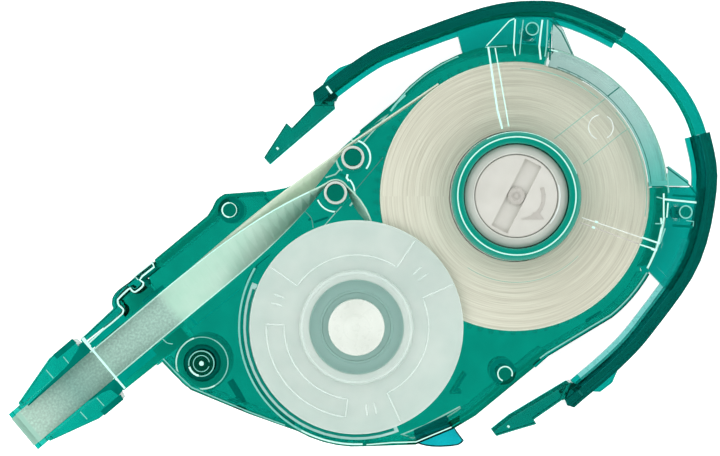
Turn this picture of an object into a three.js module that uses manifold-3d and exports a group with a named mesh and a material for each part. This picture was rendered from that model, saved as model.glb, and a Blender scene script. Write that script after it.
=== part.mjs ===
// Correction tape cartridge lying on its back. Millimetres, +Z up.
// The origin is on the supply reel's axis, in the plane that the case rests on.
// The nose points to -X -Y, and the springy bow runs round the +X side.
import * as THREE from 'three';
import { mergeVertices } from 'three/addons/utils/BufferGeometryUtils.js';
import Module from 'manifold-3d';

const wasm = await Module();
wasm.setup();

// ---------------------------------------------------------------- driving dimensions
const RUNNING_GAP = 0.1;        // radial clearance of a shaft in its bore
const GAP = 0.3;                // clearance between parts that don't touch

// Gear train: the reels' centre distance follows from the two meshed gears.
const GEAR_MODULE = 0.5;
const DRIVE_TEETH = 77;
const TAKEUP_TEETH = 37;
const AXIS_DISTANCE = GEAR_MODULE * (DRIVE_TEETH + TAKEUP_TEETH) / 2;
const TAKEUP_BEARING = 219.5;   // direction from the supply axis to the take-up axis, degrees
const TAKEUP = polar(AXIS_DISTANCE, TAKEUP_BEARING);

// Heights above the rest plane
const PLATE_TOP = 1.2;
const GEAR_BOTTOM = 1.5;
const GEAR_TOP = 3.0;
const TAPE_BOTTOM = 4.0;
const TAPE_WIDTH = 5.0;
const TAPE_TOP = TAPE_BOTTOM + TAPE_WIDTH;
const WALL_TOP = 9.0;
const UNDER_TAPE = 3.6;         // top of the ribs that the tape passes over
const FLANGE_BOTTOM = 9.4;
const FLANGE_TOP = 10.0;
const COVER_BOTTOM = 10.4;
const COVER_TOP = 10.9;
const COLLAR_TOP = 12.4;

// Reels
const ROLL_RADIUS = 18.7;
const ROLL_BORE = 9.1;
const AXLE_RADIUS = 2.0;
const HUB_RADIUS = 3.4;
const COLLAR_OUTER = 8.9;
const COLLAR_INNER = 7.2;
const KNOB_RADIUS = 5.75;
const KNOB_SLOT_ANGLE = 63;
const KNOB_SLOT_WIDTH = 2.5;
const DRUM_RADIUS = 8.8;
const USED_ROLL_RADIUS = 9.2;
const FLANGE_RADIUS = 14.8;

// Case
const CASE_RING = 21.2;         // outer radius of the case round the supply reel
const OPEN_RING = 19.3;         // the plate is cut back to here under the clear cover
const OPEN_FROM = 4;            // the cut-back runs between these two directions, degrees
const OPEN_TO = 75;
const THICK_WALL = 1.2;
const THIN_WALL = 0.6;
const WEB_BOTTOM = 2.5;
const WEB_TOP = 3.9;

// Bow and hooks
const BOW_WALL = 1.5;
const BOW_BOTTOM = 2.5;
const BOW_TOP = 10.5;
const BOW_BRIDGE = [4.5, 8.0];  // heights of the shallow stretch between the two arms
const HOOK_HEIGHTS = [4.5, 8.5];

// Nose and neck: x runs back from the nose edge, y to the upper side
const NOSE = new THREE.Vector2(-68.25, -32.6);
const NECK_ANGLE = 40;
const NECK_START = 14.3;
const NOSE_HALF_WIDTH = 3.22;
const TONGUE_LENGTH = 24;
const NOSE_PLATE = [5.9, 7.1];
const CHANNEL_HALF_WIDTH = 2.95;
const CHANNEL_FLOOR = 3.8;

// Tape, drawn thicker than the real 0.07 so that it is a solid
const TAPE_THICKNESS = 0.2;
const FEED_FLAT_HEIGHT = 5.3;
const RETURN_FLAT_HEIGHT = 7.7;
const TWIST_FROM = 23;          // where both tapes stop lying flat, measured back from the nose
const TWIST_TO_ROLLER = 0.5;    // they stand on edge this far before their rollers
const FEED_TWIST_POWER = 1.5;   // how late the twist comes: 1 is even along the neck
const RETURN_TWIST_POWER = 2;
const RETURN_LEAN = 77;         // the return tape leans this much on its way to the reel, degrees

// Guide rollers
const UPPER_ROLLER = new THREE.Vector2(-22.5, 5.4);
const LOWER_ROLLER = new THREE.Vector2(-24.9, 0.5);
const ROLLER_RADIUS = 1.6;
const ROLLER_PIN = 1.15;

// ---------------------------------------------------------------- outlines
function polar(radius, degrees, centre = new THREE.Vector2()) {
  const angle = THREE.MathUtils.degToRad(degrees);
  return new THREE.Vector2(radius * Math.cos(angle), radius * Math.sin(angle)).add(centre);
}

function arc(radius, from, to, centre, steps = Math.max(2, Math.ceil(Math.abs(to - from) / 7.5))) {
  const points = [];
  for (let i = 0; i <= steps; i += 1) {
    points.push(polar(radius, from + (to - from) * i / steps, centre));
  }
  return points;
}

function circle(radius, centre, steps = 48) {
  return arc(radius, 0, 360 - 360 / steps, centre, steps - 1);
}

// A smooth curve through a few points.
function smooth(points, steps) {
  return new THREE.SplineCurve(points.map(([x, y]) => new THREE.Vector2(x, y))).getPoints(steps);
}

function corners(points) {
  return points.map(([x, y]) => new THREE.Vector2(x, y));
}

// The two edges of a band that runs along a line, reaching left and right of it.
function band(line, left, right) {
  const edges = [[], []];
  line.forEach((point, i) => {
    const before = line[Math.max(i - 1, 0)];
    const after = line[Math.min(i + 1, line.length - 1)];
    const incoming = point.clone().sub(before);
    const outgoing = after.clone().sub(point);
    if (i === 0) incoming.copy(outgoing);
    if (i === line.length - 1) outgoing.copy(incoming);
    const a = incoming.normalize();
    const b = outgoing.normalize();
    const mean = a.clone().add(b).normalize();
    const stretch = 1 / Math.max(0.5, mean.dot(b));
    const normal = new THREE.Vector2(-mean.y, mean.x).multiplyScalar(stretch);
    edges[0].push(point.clone().addScaledVector(normal, left));
    edges[1].push(point.clone().addScaledVector(normal, -right));
  });
  return [...edges[0], ...edges[1].reverse()];
}

function sectorOutline(inner, outer, from, to, centre) {
  return [...arc(outer, from, to, centre), ...arc(inner, to, from, centre)];
}

// ---------------------------------------------------------------- solids
function signedVolume(positions, triangles) {
  const [a, b, c] = [new THREE.Vector3(), new THREE.Vector3(), new THREE.Vector3()];
  let total = 0;
  for (let i = 0; i < triangles.length; i += 3) {
    a.fromArray(positions, triangles[i] * 3);
    b.fromArray(positions, triangles[i + 1] * 3);
    c.fromArray(positions, triangles[i + 2] * 3);
    total += a.dot(b.cross(c)) / 6;
  }
  return total;
}

function toSolid(geometry) {
  const bare = geometry.clone();
  Object.keys(bare.attributes).filter((name) => name !== 'position').forEach((name) => bare.deleteAttribute(name));
  const merged = mergeVertices(bare, 1e-4);
  const positions = new Float32Array(merged.attributes.position.array);
  const triangles = [];
  for (let i = 0; i < merged.index.count; i += 3) {
    const [a, b, c] = [0, 1, 2].map((corner) => merged.index.getX(i + corner));
    if (a !== b && b !== c && c !== a) triangles.push(a, b, c);
  }
  if (signedVolume(positions, triangles) < 0) triangles.reverse();
  const mesh = new wasm.Mesh({ numProp: 3, vertProperties: positions, triVerts: new Uint32Array(triangles) });
  return new wasm.Manifold(mesh);
}

function toGeometry(solid) {
  const { vertProperties, triVerts } = solid.getMesh();
  const geometry = new THREE.BufferGeometry();
  geometry.setAttribute('position', new THREE.BufferAttribute(new Float32Array(vertProperties), 3));
  geometry.setIndex(new THREE.BufferAttribute(new Uint32Array(triVerts), 1));
  return geometry;
}

function slabGeometry(outline, bottom, top, holes = []) {
  const shape = new THREE.Shape(outline);
  shape.holes = holes.map((hole) => new THREE.Path(hole));
  const geometry = new THREE.ExtrudeGeometry(shape, { depth: top - bottom, bevelEnabled: false });
  return geometry.translate(0, 0, bottom);
}

function slab(outline, bottom, top, holes = []) {
  return toSolid(slabGeometry(outline, bottom, top, holes));
}

function disc(radius, bottom, top, centre, steps = 32) {
  return slab(circle(radius, centre, steps), bottom, top);
}

function ring(inner, outer, bottom, top, centre, steps = 48) {
  return slab(circle(outer, centre, steps), bottom, top, [circle(inner, centre, steps)]);
}

function sector(inner, outer, from, to, bottom, top, centre) {
  return slab(sectorOutline(inner, outer, from, to, centre), bottom, top);
}

// A solid of revolution about the vertical axis through a centre, from [radius, height] pairs.
function turned(profile, centre = new THREE.Vector2(), steps = 48) {
  const points = profile.map(([radius, height]) => new THREE.Vector2(radius, height));
  if (profile[0][0] > 0) points.push(points[0].clone());
  const geometry = new THREE.LatheGeometry(points, steps).rotateX(Math.PI / 2);
  return toSolid(geometry.translate(centre.x, centre.y, 0));
}

// Moves a geometry from the neck's own x and y to its place.
function toNeck(geometry) {
  return geometry.rotateZ(THREE.MathUtils.degToRad(NECK_ANGLE)).translate(NOSE.x, NOSE.y, 0);
}

function neckSlab(outline, bottom, top) {
  return toSolid(toNeck(slabGeometry(corners(outline), bottom, top)));
}

function neckBox(fromX, toX, fromY, toY, bottom, top) {
  return neckSlab([[fromX, fromY], [toX, fromY], [toX, toY], [fromX, toY]], bottom, top);
}

function join(solids) {
  return solids.reduce((whole, solid) => whole.add(solid));
}

// ---------------------------------------------------------------- case outline
const UPPER_EDGE = [
  ...corners([[-60.4, -19.9], [-55.8, -15.6]]),
  ...smooth([[-56.0, -15.0], [-55.9, -14.1], [-55.2, -13.1], [-53.7, -12.0]], 6),
  ...corners([[-50.3, -9.0], [-42.7, -2.7]]),
  ...smooth([[-42.0, -1.6], [-41.4, -0.4], [-40.3, 0.35]], 4),
  ...corners([[-34.9, 0.75]]),
  ...smooth([[-32.0, 1.3], [-29.2, 2.7], [-25.4, 5.75]], 5),
  ...corners([[-22.8, 8.1]]),
];
const UPPER_RING = arc(CASE_RING, 141, 75);
const RIGHT_RING = arc(CASE_RING, 4, -28.5);
const LOWER_EDGE = [
  ...arc(21.6, -30, -51),
  ...corners([[4.7, -22.1], [-5.5, -30.5], [-8.7, -32.4], [-13.8, -34.5]]),
  ...arc(16.65, -86, -119.5, TAKEUP),
  ...corners([[-37.0, -30.2], [-45.0, -26.9], [-47.2, -24.9], [-49.0, -23.0], [-54.6, -27.2]]),
];
const CASE_OUTLINE = [
  ...UPPER_EDGE,
  ...UPPER_RING,
  ...arc(OPEN_RING, OPEN_TO, OPEN_FROM),
  ...RIGHT_RING,
  ...LOWER_EDGE,
];

// The catch line that parts the neck clip arm from the case.
const CATCH_LINE = [
  ...corners([[-61.0, -21.4], [-55.2, -16.9]]),
  ...smooth([[-54.5, -16.2], [-54.4, -15.5], [-54.9, -14.9], [-55.0, -14.2]], 6),
  ...corners([[-54.7, -13.7], [-53.7, -12.7]]),
  ...smooth([[-53.2, -12.9], [-52.7, -13.1], [-52.2, -12.7], [-51.7, -12.2], [-51.9, -11.6]], 6),
  ...corners([[-52.2, -11.2], [-49.9, -9.4], [-50.6, -8.2]]),
];
const ARM_REGION = [...CATCH_LINE, ...corners([[-52.0, -9.0], [-58.0, -12.0], [-63.0, -19.0]])];

function edgeWall(line, thickness, bottom = PLATE_TOP, top = WALL_TOP) {
  return slab(band(line, thickness, thickness), bottom, top);
}

// ---------------------------------------------------------------- case
function neckBlock() {
  const outline = [[NECK_START, -4.65], [26, -4.9], [26, 5.4], [NECK_START, 4.75]];
  return neckSlab(outline, 0, WALL_TOP);
}

// Everything the tape and the nose piece need cleared out of the neck.
function neckHollow() {
  const channel = neckBox(NECK_START - 1, 28, -CHANNEL_HALF_WIDTH, CHANNEL_HALF_WIDTH, CHANNEL_FLOOR, 10);
  const grooves = neckBox(15.7, 20.3, -3.6, 3.6, NOSE_PLATE[0] - GAP, NOSE_PLATE[1] + GAP);
  const underside = new THREE.Shape(corners([[NECK_START - 1, -1], [24, -1], [24, 0], [NECK_START - 1, 2.6]]));
  const wedge = new THREE.ExtrudeGeometry(underside, { depth: 16, bevelEnabled: false });
  wedge.rotateX(Math.PI / 2).translate(0, 8, 0);
  return join([channel, grooves, toSolid(toNeck(wedge))]);
}

function rollerPost(centre) {
  return join([
    disc(2.0, PLATE_TOP, TAPE_BOTTOM - GAP, centre, 24),
    disc(ROLLER_PIN, PLATE_TOP, TAPE_TOP + 0.6, centre, 24),
  ]);
}

// Curved ribs that keep the tape on its roller.
function tapeGuards() {
  const guard = (radius, from, to, centre, top) => sector(radius, radius + 0.35, from, to, PLATE_TOP, top, centre);
  const upperLeft = band(corners([[-24.9, 4.0], [-24.3, 3.5], [-25.2, 2.9], [-27.0, 2.2]]), 0.18, 0.18);
  return join([
    guard(2.25, 72, -40, UPPER_ROLLER, WALL_TOP),
    guard(2.25, 88, 72, UPPER_ROLLER, UNDER_TAPE),
    slab(upperLeft, PLATE_TOP, UNDER_TAPE),
    guard(2.45, 75, 5, LOWER_ROLLER, WALL_TOP),
    guard(2.45, 5, -45, LOWER_ROLLER, UNDER_TAPE),
    guard(2.45, 200, 270, LOWER_ROLLER, WALL_TOP),
    slab(band(corners([[-21.1, 7.2], [-17.2, 11.9]]), 0.25, 0.25), PLATE_TOP, UNDER_TAPE),
  ]);
}

function caseBosses() {
  const NECK_BOSS = new THREE.Vector2(-43.5, -23.2);
  const boss = (x, y) => {
    const centre = new THREE.Vector2(x, y);
    return join([disc(1.9, PLATE_TOP, 5, centre, 24), disc(1.15, PLATE_TOP, 9.6, centre, 24)]);
  };
  return join([
    ring(2.6, 3.95, PLATE_TOP, 8.2, NECK_BOSS, 32),
    boss(-39.6, -1.9),
    boss(-1.4, -24.6),
  ]);
}

function caseRibs() {
  return join([
    sector(15.0, 15.4, 160, 290, PLATE_TOP, 8.6, TAKEUP),
    sector(16.2, 16.5, 150, 243, PLATE_TOP, WALL_TOP, TAKEUP),
    slab(band(corners([[-6.6, -24.9], [-8.3, -27.6], [-7.2, -27.6]]), 0.25, 0.25), PLATE_TOP, 5),
    slab(band(corners([[-35.0, -0.1], [-33.2, -1.7]]), 0.3, 0.3), PLATE_TOP, 3.5),
  ]);
}

function caseAxles() {
  return join([
    disc(AXLE_RADIUS, PLATE_TOP, TAPE_TOP, undefined, 32),
    disc(AXLE_RADIUS, PLATE_TOP, 8.2, TAKEUP, 32),
    rollerPost(UPPER_ROLLER),
    rollerPost(LOWER_ROLLER),
  ]);
}

function caseWalls() {
  const thick = [
    edgeWall(corners([[-50.3, -9.0], [-42.7, -2.7], [-41.4, -0.4], [-40.3, 0.35]]), THICK_WALL),
    edgeWall(corners([[-8.7, -32.4], [-5.5, -30.5], [4.7, -22.1]]), THICK_WALL),
  ];
  const thin = [
    edgeWall(corners([[-41.4, -0.4], [-40.3, 0.35], [-34.9, 0.75]]), THIN_WALL),
    edgeWall(corners([[-34.9, 0.75], [-32.0, 1.3], [-29.2, 2.7], [-25.4, 5.75], [-22.8, 8.1], [-20.9, 9.67]]), THIN_WALL,
      PLATE_TOP, UNDER_TAPE),
    edgeWall([new THREE.Vector2(-21.6, 9.09), ...UPPER_RING], THIN_WALL),
    edgeWall(RIGHT_RING, THIN_WALL),
    edgeWall([...arc(21.6, -30, -51), ...corners([[4.7, -22.1], [2.7, -23.75]])], THIN_WALL),
    edgeWall(corners([[-31.6, -32.15], [-37.0, -30.2], [-45.0, -26.9], [-47.2, -24.9], [-49.0, -23.0]]), THIN_WALL),
    edgeWall([
      ...corners([[-7.1, -31.45], [-8.7, -32.4], [-13.8, -34.5]]),
      ...arc(16.65, -86, -119.5, TAKEUP), new THREE.Vector2(-33.2, -31.5),
    ], THIN_WALL),
  ];
  return join([...thick, ...thin]).intersect(slab(CASE_OUTLINE, 0, 12));
}

// The slot in the lower wall that the locating fin stands in.
function finSlot() {
  return slab(corners([[-14.6, -36], [-7.2, -36], [-7.6, -29.6], [-15.2, -32.6]]), 3.7, 4.9);
}

function rearCase() {
  const plate = slab(CASE_OUTLINE, 0, PLATE_TOP);
  const body = join([plate, neckBlock(), caseWalls(), caseRibs(), caseAxles(), tapeGuards(), caseBosses()]);
  const arm = slab(ARM_REGION, -1, 12).add(slab(band(CATCH_LINE, GAP / 2, GAP / 2), -1, 12));
  const pocketRing = sector(15.5, 15.95, 155, 290, 0.5, PLATE_TOP + 0.1, TAKEUP);
  return body.subtract(neckHollow()).subtract(arm).subtract(pocketRing).subtract(finSlot());
}

function neckClipArm() {
  const outline = slab(CASE_OUTLINE, 2.6, WALL_TOP);
  const seam = slab(band(CATCH_LINE, GAP / 2, GAP / 2), -1, 12);
  return outline.intersect(slab(ARM_REGION, -1, 12)).subtract(seam);
}

function neckStud() {
  const profile = [
    [0, GEAR_BOTTOM], [1.9, GEAR_BOTTOM], [1.9, 9.4], [1.2, 9.4], [1.2, 8.6], [0.45, 8.6], [0.45, 9.2], [0, 9.2],
  ];
  return turned(profile, new THREE.Vector2(-43.5, -23.2), 32);
}

function locatingFin() {
  const outline = [
    ...smooth([[-13.7, -34.65], [-12.2, -35.2], [-10.1, -35.35], [-7.6, -35.1], [-6.8, -34.4]], 8),
    ...corners([[-8.4, -32.5], [-9.3, -30.9], [-13.9, -33.0]]),
  ];
  return slab(outline, 4.0, 4.6);
}

// ---------------------------------------------------------------- nose piece
function applicatorTip() {
  const wing = (side) => [
    [1.9, 2.85 * side], [13.4, 2.85 * side], [13.4, 4.65 * side], [13.2, 5.45 * side],
    [9.2, 5.45 * side], [5.2, 4.35 * side], [1.9, 3.45 * side],
  ];
  const plateLength = TONGUE_LENGTH - 2.4;
  const plate = neckSlab([
    [1.2, -NOSE_HALF_WIDTH], [13.0, -NOSE_HALF_WIDTH], [13.2, -2.6], [plateLength, -2.6],
    [TONGUE_LENGTH - 0.7, -1.8], [TONGUE_LENGTH, 0], [TONGUE_LENGTH - 0.7, 1.8], [plateLength, 2.6],
    [13.2, 2.6], [13.0, NOSE_HALF_WIDTH], [1.2, NOSE_HALF_WIDTH],
  ], ...NOSE_PLATE);
  const [low, high] = NOSE_PLATE;
  const middle = (low + high) / 2;
  const wedge = new THREE.Shape(corners([[0, middle - 0.12], [0, middle + 0.12], [2, high], [2, low]]));
  const nose = new THREE.ExtrudeGeometry(wedge, { depth: 2 * NOSE_HALF_WIDTH, bevelEnabled: false });
  nose.rotateX(Math.PI / 2).translate(0, NOSE_HALF_WIDTH, 0);
  const ears = neckBox(16, 20, -3.3, 3.3, ...NOSE_PLATE);
  return join([plate, toSolid(toNeck(nose)), ears, neckSlab(wing(1), 4.4, 9.0), neckSlab(wing(-1), 4.4, 9.0)]);
}

// ---------------------------------------------------------------- clear front cover
const TOP_LUG = [[-4.15, 20.6], [-0.2, 24.8], [5.2, 24.6], [6.6, 22.9], [8.3, 19.3]];
const RIGHT_LUG = [[20.7, 4.4], [23.8, 2.1], [25.3, 0.4], [24.9, -4.4], [23.7, -6.1], [20.9, -11.2], [19.4, -9.9]];

function lugRibs() {
  const rib = (outline) => slab(corners(outline), WEB_TOP + 0.1, COVER_BOTTOM);
  return join([
    rib([[0.1, 21.6], [0.5, 24.7], [1.2, 24.7], [0.9, 21.6]]),
    rib([[3.4, 21.4], [3.6, 24.6], [4.5, 24.6], [4.3, 21.4]]),
    rib([[21.6, -0.2], [25.2, -0.5], [25.2, -1.2], [21.6, -0.9]]),
    rib([[21.6, -3.4], [24.9, -3.6], [24.8, -4.2], [21.6, -4.1]]),
  ]);
}

function frontCover() {
  const sheet = sector(COLLAR_OUTER - 0.4, CASE_RING - 0.2, -20, 101, COVER_BOTTOM, COVER_TOP);
  const skirt = sector(CASE_RING - 0.6, CASE_RING - 0.2, OPEN_FROM + 2, OPEN_TO - 3, 4, COVER_BOTTOM + 0.1);
  const collar = ring(COLLAR_INNER, COLLAR_OUTER, TAPE_TOP + GAP, COLLAR_TOP);
  const topRib = slab(corners([[-3.8, 20.6], [-1.5, 8.6], [-0.7, 8.6], [-2.3, 20.6]]), COVER_BOTTOM, 11.7);
  const rightRib = slab(corners([[8.4, -2.6], [20.2, -6.7], [19.6, -7.5], [8.4, -3.5]]), COVER_BOTTOM, 11.7);
  const lugs = join([
    slab(corners(TOP_LUG), COVER_BOTTOM, COVER_TOP),
    slab(corners(RIGHT_LUG), COVER_BOTTOM, COVER_TOP),
    lugRibs(),
  ]);
  return join([sheet, skirt, collar, topRib, rightRib, lugs]).subtract(pinHoles(1.2));
}

const COVER_PINS = { cover_pin_top: [2.2, 23.0], cover_pin_right: [23.3, -2.2] };

function pinHoles(radius) {
  const at = ([x, y]) => disc(radius, 0, 12, new THREE.Vector2(x, y), 24);
  return join(Object.values(COVER_PINS).map(at));
}

function coverPin([x, y]) {
  const profile = [[0, WEB_BOTTOM], [0.9, WEB_BOTTOM], [0.9, 11.3], [0.7, 11.5], [0, 11.5]];
  return turned(profile, new THREE.Vector2(x, y), 24);
}

// ---------------------------------------------------------------- bow and hooks
const BOW_STEPS = 60;
const BRIDGE_FROM = 25;         // steps along the bow where the shallow stretch begins and ends
const BRIDGE_TO = 38;
const BOW_EDGE = smooth([
  [-28.0, 14.4], [-21.5, 19.2], [-16.7, 21.7], [-4.8, 26.0], [2.4, 27.0], [8.4, 26.2], [16.5, 22.4],
  [21.6, 17.8], [25.0, 13.3], [27.0, 8.1], [27.8, 1.2], [25.4, -9.3], [19.2, -18.5], [14.7, -23.5], [8.0, -29.2],
], BOW_STEPS);

function bowWebs() {
  const inner = CASE_RING + GAP;
  const top = [...arc(inner, 109, 76), ...corners([[5.6, 22.9], [6.2, 26.0], [-1.0, 25.8], [-7.9, 23.9]])];
  const right = [...arc(inner, -28, 3.8), ...corners([[26.8, 1.4], [26.9, -1.5], [25.0, -7.2], [21.9, -13.2]])];
  return join([slab(top, WEB_BOTTOM, WEB_TOP), slab(right, WEB_BOTTOM, WEB_TOP)]);
}

// The blocks at the bow's ends that the hooks spring from
const BLOCK_HEIGHTS = [3.5, 9.5];
const UPPER_BLOCK = [[-28.05, 14.4], [-27.9, 13.15], [-24.8, 13.15], [-24.5, 13.8], [-26.0, 15.6]];
const LOWER_BLOCK = [[8.2, -29.3], [7.2, -29.0], [6.95, -28.3], [7.95, -25.8], [10.0, -26.6], [9.8, -27.9]];

function outerBow() {
  const stretch = (from, to, bottom, top) => slab(band(BOW_EDGE.slice(from, to + 1), 0, BOW_WALL), bottom, top);
  const lip = (from, to) => slab(band(BOW_EDGE.slice(from, to + 1), 0, BOW_WALL + 0.7), BOW_BOTTOM, BOW_BOTTOM + 0.6);
  const upperBump = corners([[-27.0, 15.3], [-26.0, 16.9], [-24.4, 18.1], [-22.3, 18.9], [-20.8, 19.3], [-22.0, 18.0]]);
  const lowerBump = corners([[10.0, -27.3], [12.2, -27.4], [13.9, -26.1], [14.8, -24.0], [14.6, -23.2], [13.2, -24.4]]);
  return join([
    stretch(0, BRIDGE_FROM, BOW_BOTTOM, BOW_TOP),
    stretch(BRIDGE_TO, BOW_STEPS, BOW_BOTTOM, BOW_TOP),
    stretch(BRIDGE_FROM - 2, BRIDGE_TO + 2, ...BOW_BRIDGE),
    lip(0, BRIDGE_FROM),
    lip(BRIDGE_TO, BOW_STEPS),
    bowWebs(),
    slab(corners(UPPER_BLOCK), ...BLOCK_HEIGHTS),
    slab(corners(LOWER_BLOCK), ...BLOCK_HEIGHTS),
    slab(upperBump, 4, 6.5),
    slab(lowerBump, 4, 6.5),
  ]).subtract(pinHoles(0.9 + GAP));
}

function snapHook(outline) {
  return slab(corners(outline), ...HOOK_HEIGHTS);
}

const UPPER_HOOK = [
  [-27.9, 12.8], [-31.0, 9.55], [-31.75, 10.25], [-34.9, 5.4], [-34.2, 4.6], [-25.0, 12.5], [-25.0, 12.8],
];
const LOWER_HOOK = [
  [6.6, -28.4], [2.7, -31.1], [3.1, -31.7], [-0.6, -32.8], [-2.5, -33.4], [-3.0, -32.8], [-0.5, -30.8], [7.6, -25.95],
];

// ---------------------------------------------------------------- reels and gears
function gearOutline(teeth, centre, phase) {
  const pitchRadius = GEAR_MODULE * teeth / 2;
  const step = 360 / teeth;
  const points = [];
  for (let tooth = 0; tooth < teeth; tooth += 1) {
    const middle = phase + tooth * step;
    points.push(polar(pitchRadius - 0.55, middle - 0.29 * step, centre));
    points.push(polar(pitchRadius + 0.4, middle - 0.13 * step, centre));
    points.push(polar(pitchRadius + 0.4, middle + 0.13 * step, centre));
    points.push(polar(pitchRadius - 0.55, middle + 0.29 * step, centre));
  }
  return points;
}

function driveGear() {
  const rim = slab(gearOutline(DRIVE_TEETH, undefined, TAKEUP_BEARING), GEAR_BOTTOM, GEAR_TOP, [circle(16.8)]);
  const web = ring(HUB_RADIUS - 0.6, 17.2, GEAR_BOTTOM, 2.4);
  const hub = ring(AXLE_RADIUS + RUNNING_GAP, HUB_RADIUS, GEAR_BOTTOM, 8.9, undefined, 32);
  return join([rim, web, hub]);
}

function takeupGear() {
  const phase = TAKEUP_BEARING + 180 + 180 / TAKEUP_TEETH;
  return slab(gearOutline(TAKEUP_TEETH, TAKEUP, phase), GEAR_BOTTOM, GEAR_TOP,
    [circle(AXLE_RADIUS + RUNNING_GAP, TAKEUP, 32)]);
}

// A ring on the gear's hub with three curved fingers that press on the core's bore.
function clutchSpring() {
  const finger = (turn) => slab(band(arc(5.6, turn, turn + 70), 0.35, 0.35), 4.6, 5.6);
  const spoke = (turn) => slab(band([polar(4.0, turn + 2), polar(5.8, turn + 2)], 0.6, 0.6), 4.6, 5.6);
  const pad = (turn) => disc(0.75, 4.6, 5.6, polar(6.1, turn + 68), 8);
  const turns = [0, 120, 240];
  return join([ring(HUB_RADIUS + RUNNING_GAP, 4.4, 4.6, 5.6, undefined, 32), ...turns.flatMap((turn) => [
    finger(turn), spoke(turn), pad(turn),
  ])]);
}

function supplyCore() {
  const outer = ROLL_BORE - RUNNING_GAP;
  return turned([
    [HUB_RADIUS + RUNNING_GAP, 3.3], [outer, 3.3], [outer, TAPE_TOP], [7.0, TAPE_TOP], [7.0, 11.2], [6.3, 11.7],
    [6.05, 11.7], [6.05, 8.3], [7.4, 8.3], [7.4, 4.2], [HUB_RADIUS + RUNNING_GAP, 4.2],
  ]);
}

function supplyRoll() {
  return ring(ROLL_BORE, ROLL_RADIUS, TAPE_BOTTOM, TAPE_TOP, undefined, 72);
}

// The slotted knob; its skirt snaps into the reel's core from above.
function tensionKnob() {
  const body = turned([[0, 9.4], [KNOB_RADIUS, 9.4], [KNOB_RADIUS, 11.5], [KNOB_RADIUS - 0.25, 11.75], [0, 11.75]]);
  const end = polar(KNOB_RADIUS + 1, KNOB_SLOT_ANGLE);
  const slot = slab(band([end.clone().negate(), end], KNOB_SLOT_WIDTH / 2, KNOB_SLOT_WIDTH / 2), 10.9, 12);
  return body.subtract(slot).add(disc(1.1, 10.5, 11.75, undefined, 24));
}

function takeupCore() {
  const bore = AXLE_RADIUS + RUNNING_GAP;
  return turned([
    [bore, 3.3], [13.4, 3.3], [13.4, 3.7], [DRUM_RADIUS, 3.7], [DRUM_RADIUS, TAPE_TOP + 0.1],
    [DRUM_RADIUS - 1.2, TAPE_TOP + 0.1], [DRUM_RADIUS - 1.2, 4.1], [3.3, 4.1], [3.3, 8.2], [bore, 8.2],
  ], TAKEUP);
}

function takeupFlange() {
  return turned([
    [3.4, 8.6], [6.9, 8.6], [6.9, FLANGE_BOTTOM], [FLANGE_RADIUS, FLANGE_BOTTOM], [FLANGE_RADIUS, FLANGE_TOP],
    [7.9, FLANGE_TOP], [7.7, 10.4], [7.2, 10.4], [6.6, FLANGE_TOP], [6.6, 8.9], [3.4, 8.9],
  ], TAKEUP, 60);
}

function takeupHubCap() {
  return turned([[0, 9.2], [3.9, 9.2], [3.9, 10.6], [3.6, 10.9], [0, 10.9]], TAKEUP, 40);
}

// ---------------------------------------------------------------- rollers and tape
function guideRoller(centre) {
  return turned([
    [ROLLER_PIN + RUNNING_GAP, TAPE_BOTTOM], [ROLLER_RADIUS, TAPE_BOTTOM],
    [ROLLER_RADIUS, TAPE_TOP + 0.3], [ROLLER_PIN + RUNNING_GAP, TAPE_TOP + 0.3],
  ], centre, 24);
}

// A thin ribbon through a row of stations. It stands on edge where the twist is 90 degrees
// and lies flat where it is 0.
function ribbon(stations) {
  const last = stations.length - 1;
  const geometry = new THREE.BoxGeometry(last, TAPE_WIDTH, TAPE_THICKNESS, last, 1, 1);
  const position = geometry.attributes.position;
  for (let i = 0; i < position.count; i += 1) {
    const at = Math.round(position.getX(i) + last / 2);
    const { centre, height, twist } = stations[at];
    const before = stations[Math.max(at - 1, 0)].centre;
    const ahead = stations[Math.min(at + 1, last)].centre.clone().sub(before).normalize();
    const angle = THREE.MathUtils.degToRad(twist);
    const across = position.getY(i);
    const through = position.getZ(i);
    const side = across * Math.cos(angle) - through * Math.sin(angle);
    const rise = across * Math.sin(angle) + through * Math.cos(angle);
    position.setXYZ(i, centre.x - side * ahead.y, centre.y + side * ahead.x, height + rise);
  }
  return toSolid(geometry);
}

// The stations from the nose to a roller: flat over or under the nose plate, then twisting
// until the tape stands on edge, level with the reels.
function neckStations(flatHeight, rollerX, rollerY, twistPower) {
  const stations = [];
  const count = 40;
  for (let i = 0; i <= count; i += 1) {
    const x = THREE.MathUtils.lerp(0.4, rollerX, i / count);
    const turned = THREE.MathUtils.clamp((x - TWIST_FROM) / (rollerX - TWIST_TO_ROLLER - TWIST_FROM), 0, 1);
    const shift = THREE.MathUtils.clamp((x - 28) / (rollerX - 28), 0, 1);
    const climb = THREE.MathUtils.smoothstep(x, TWIST_FROM, 44);
    stations.push({
      centre: fromNeck(x, rollerY * Math.pow(shift, 1.5)),
      height: THREE.MathUtils.lerp(flatHeight, (TAPE_BOTTOM + TAPE_TOP) / 2, climb),
      twist: 90 * Math.pow(turned, twistPower),
    });
  }
  return stations;
}

function fromNeck(x, y) {
  return new THREE.Vector2(x, y).rotateAround(new THREE.Vector2(), THREE.MathUtils.degToRad(NECK_ANGLE)).add(NOSE);
}

// The neck's x and y of a point in plan.
function inNeck(point) {
  return point.clone().sub(NOSE).rotateAround(new THREE.Vector2(), -THREE.MathUtils.degToRad(NECK_ANGLE));
}

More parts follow.
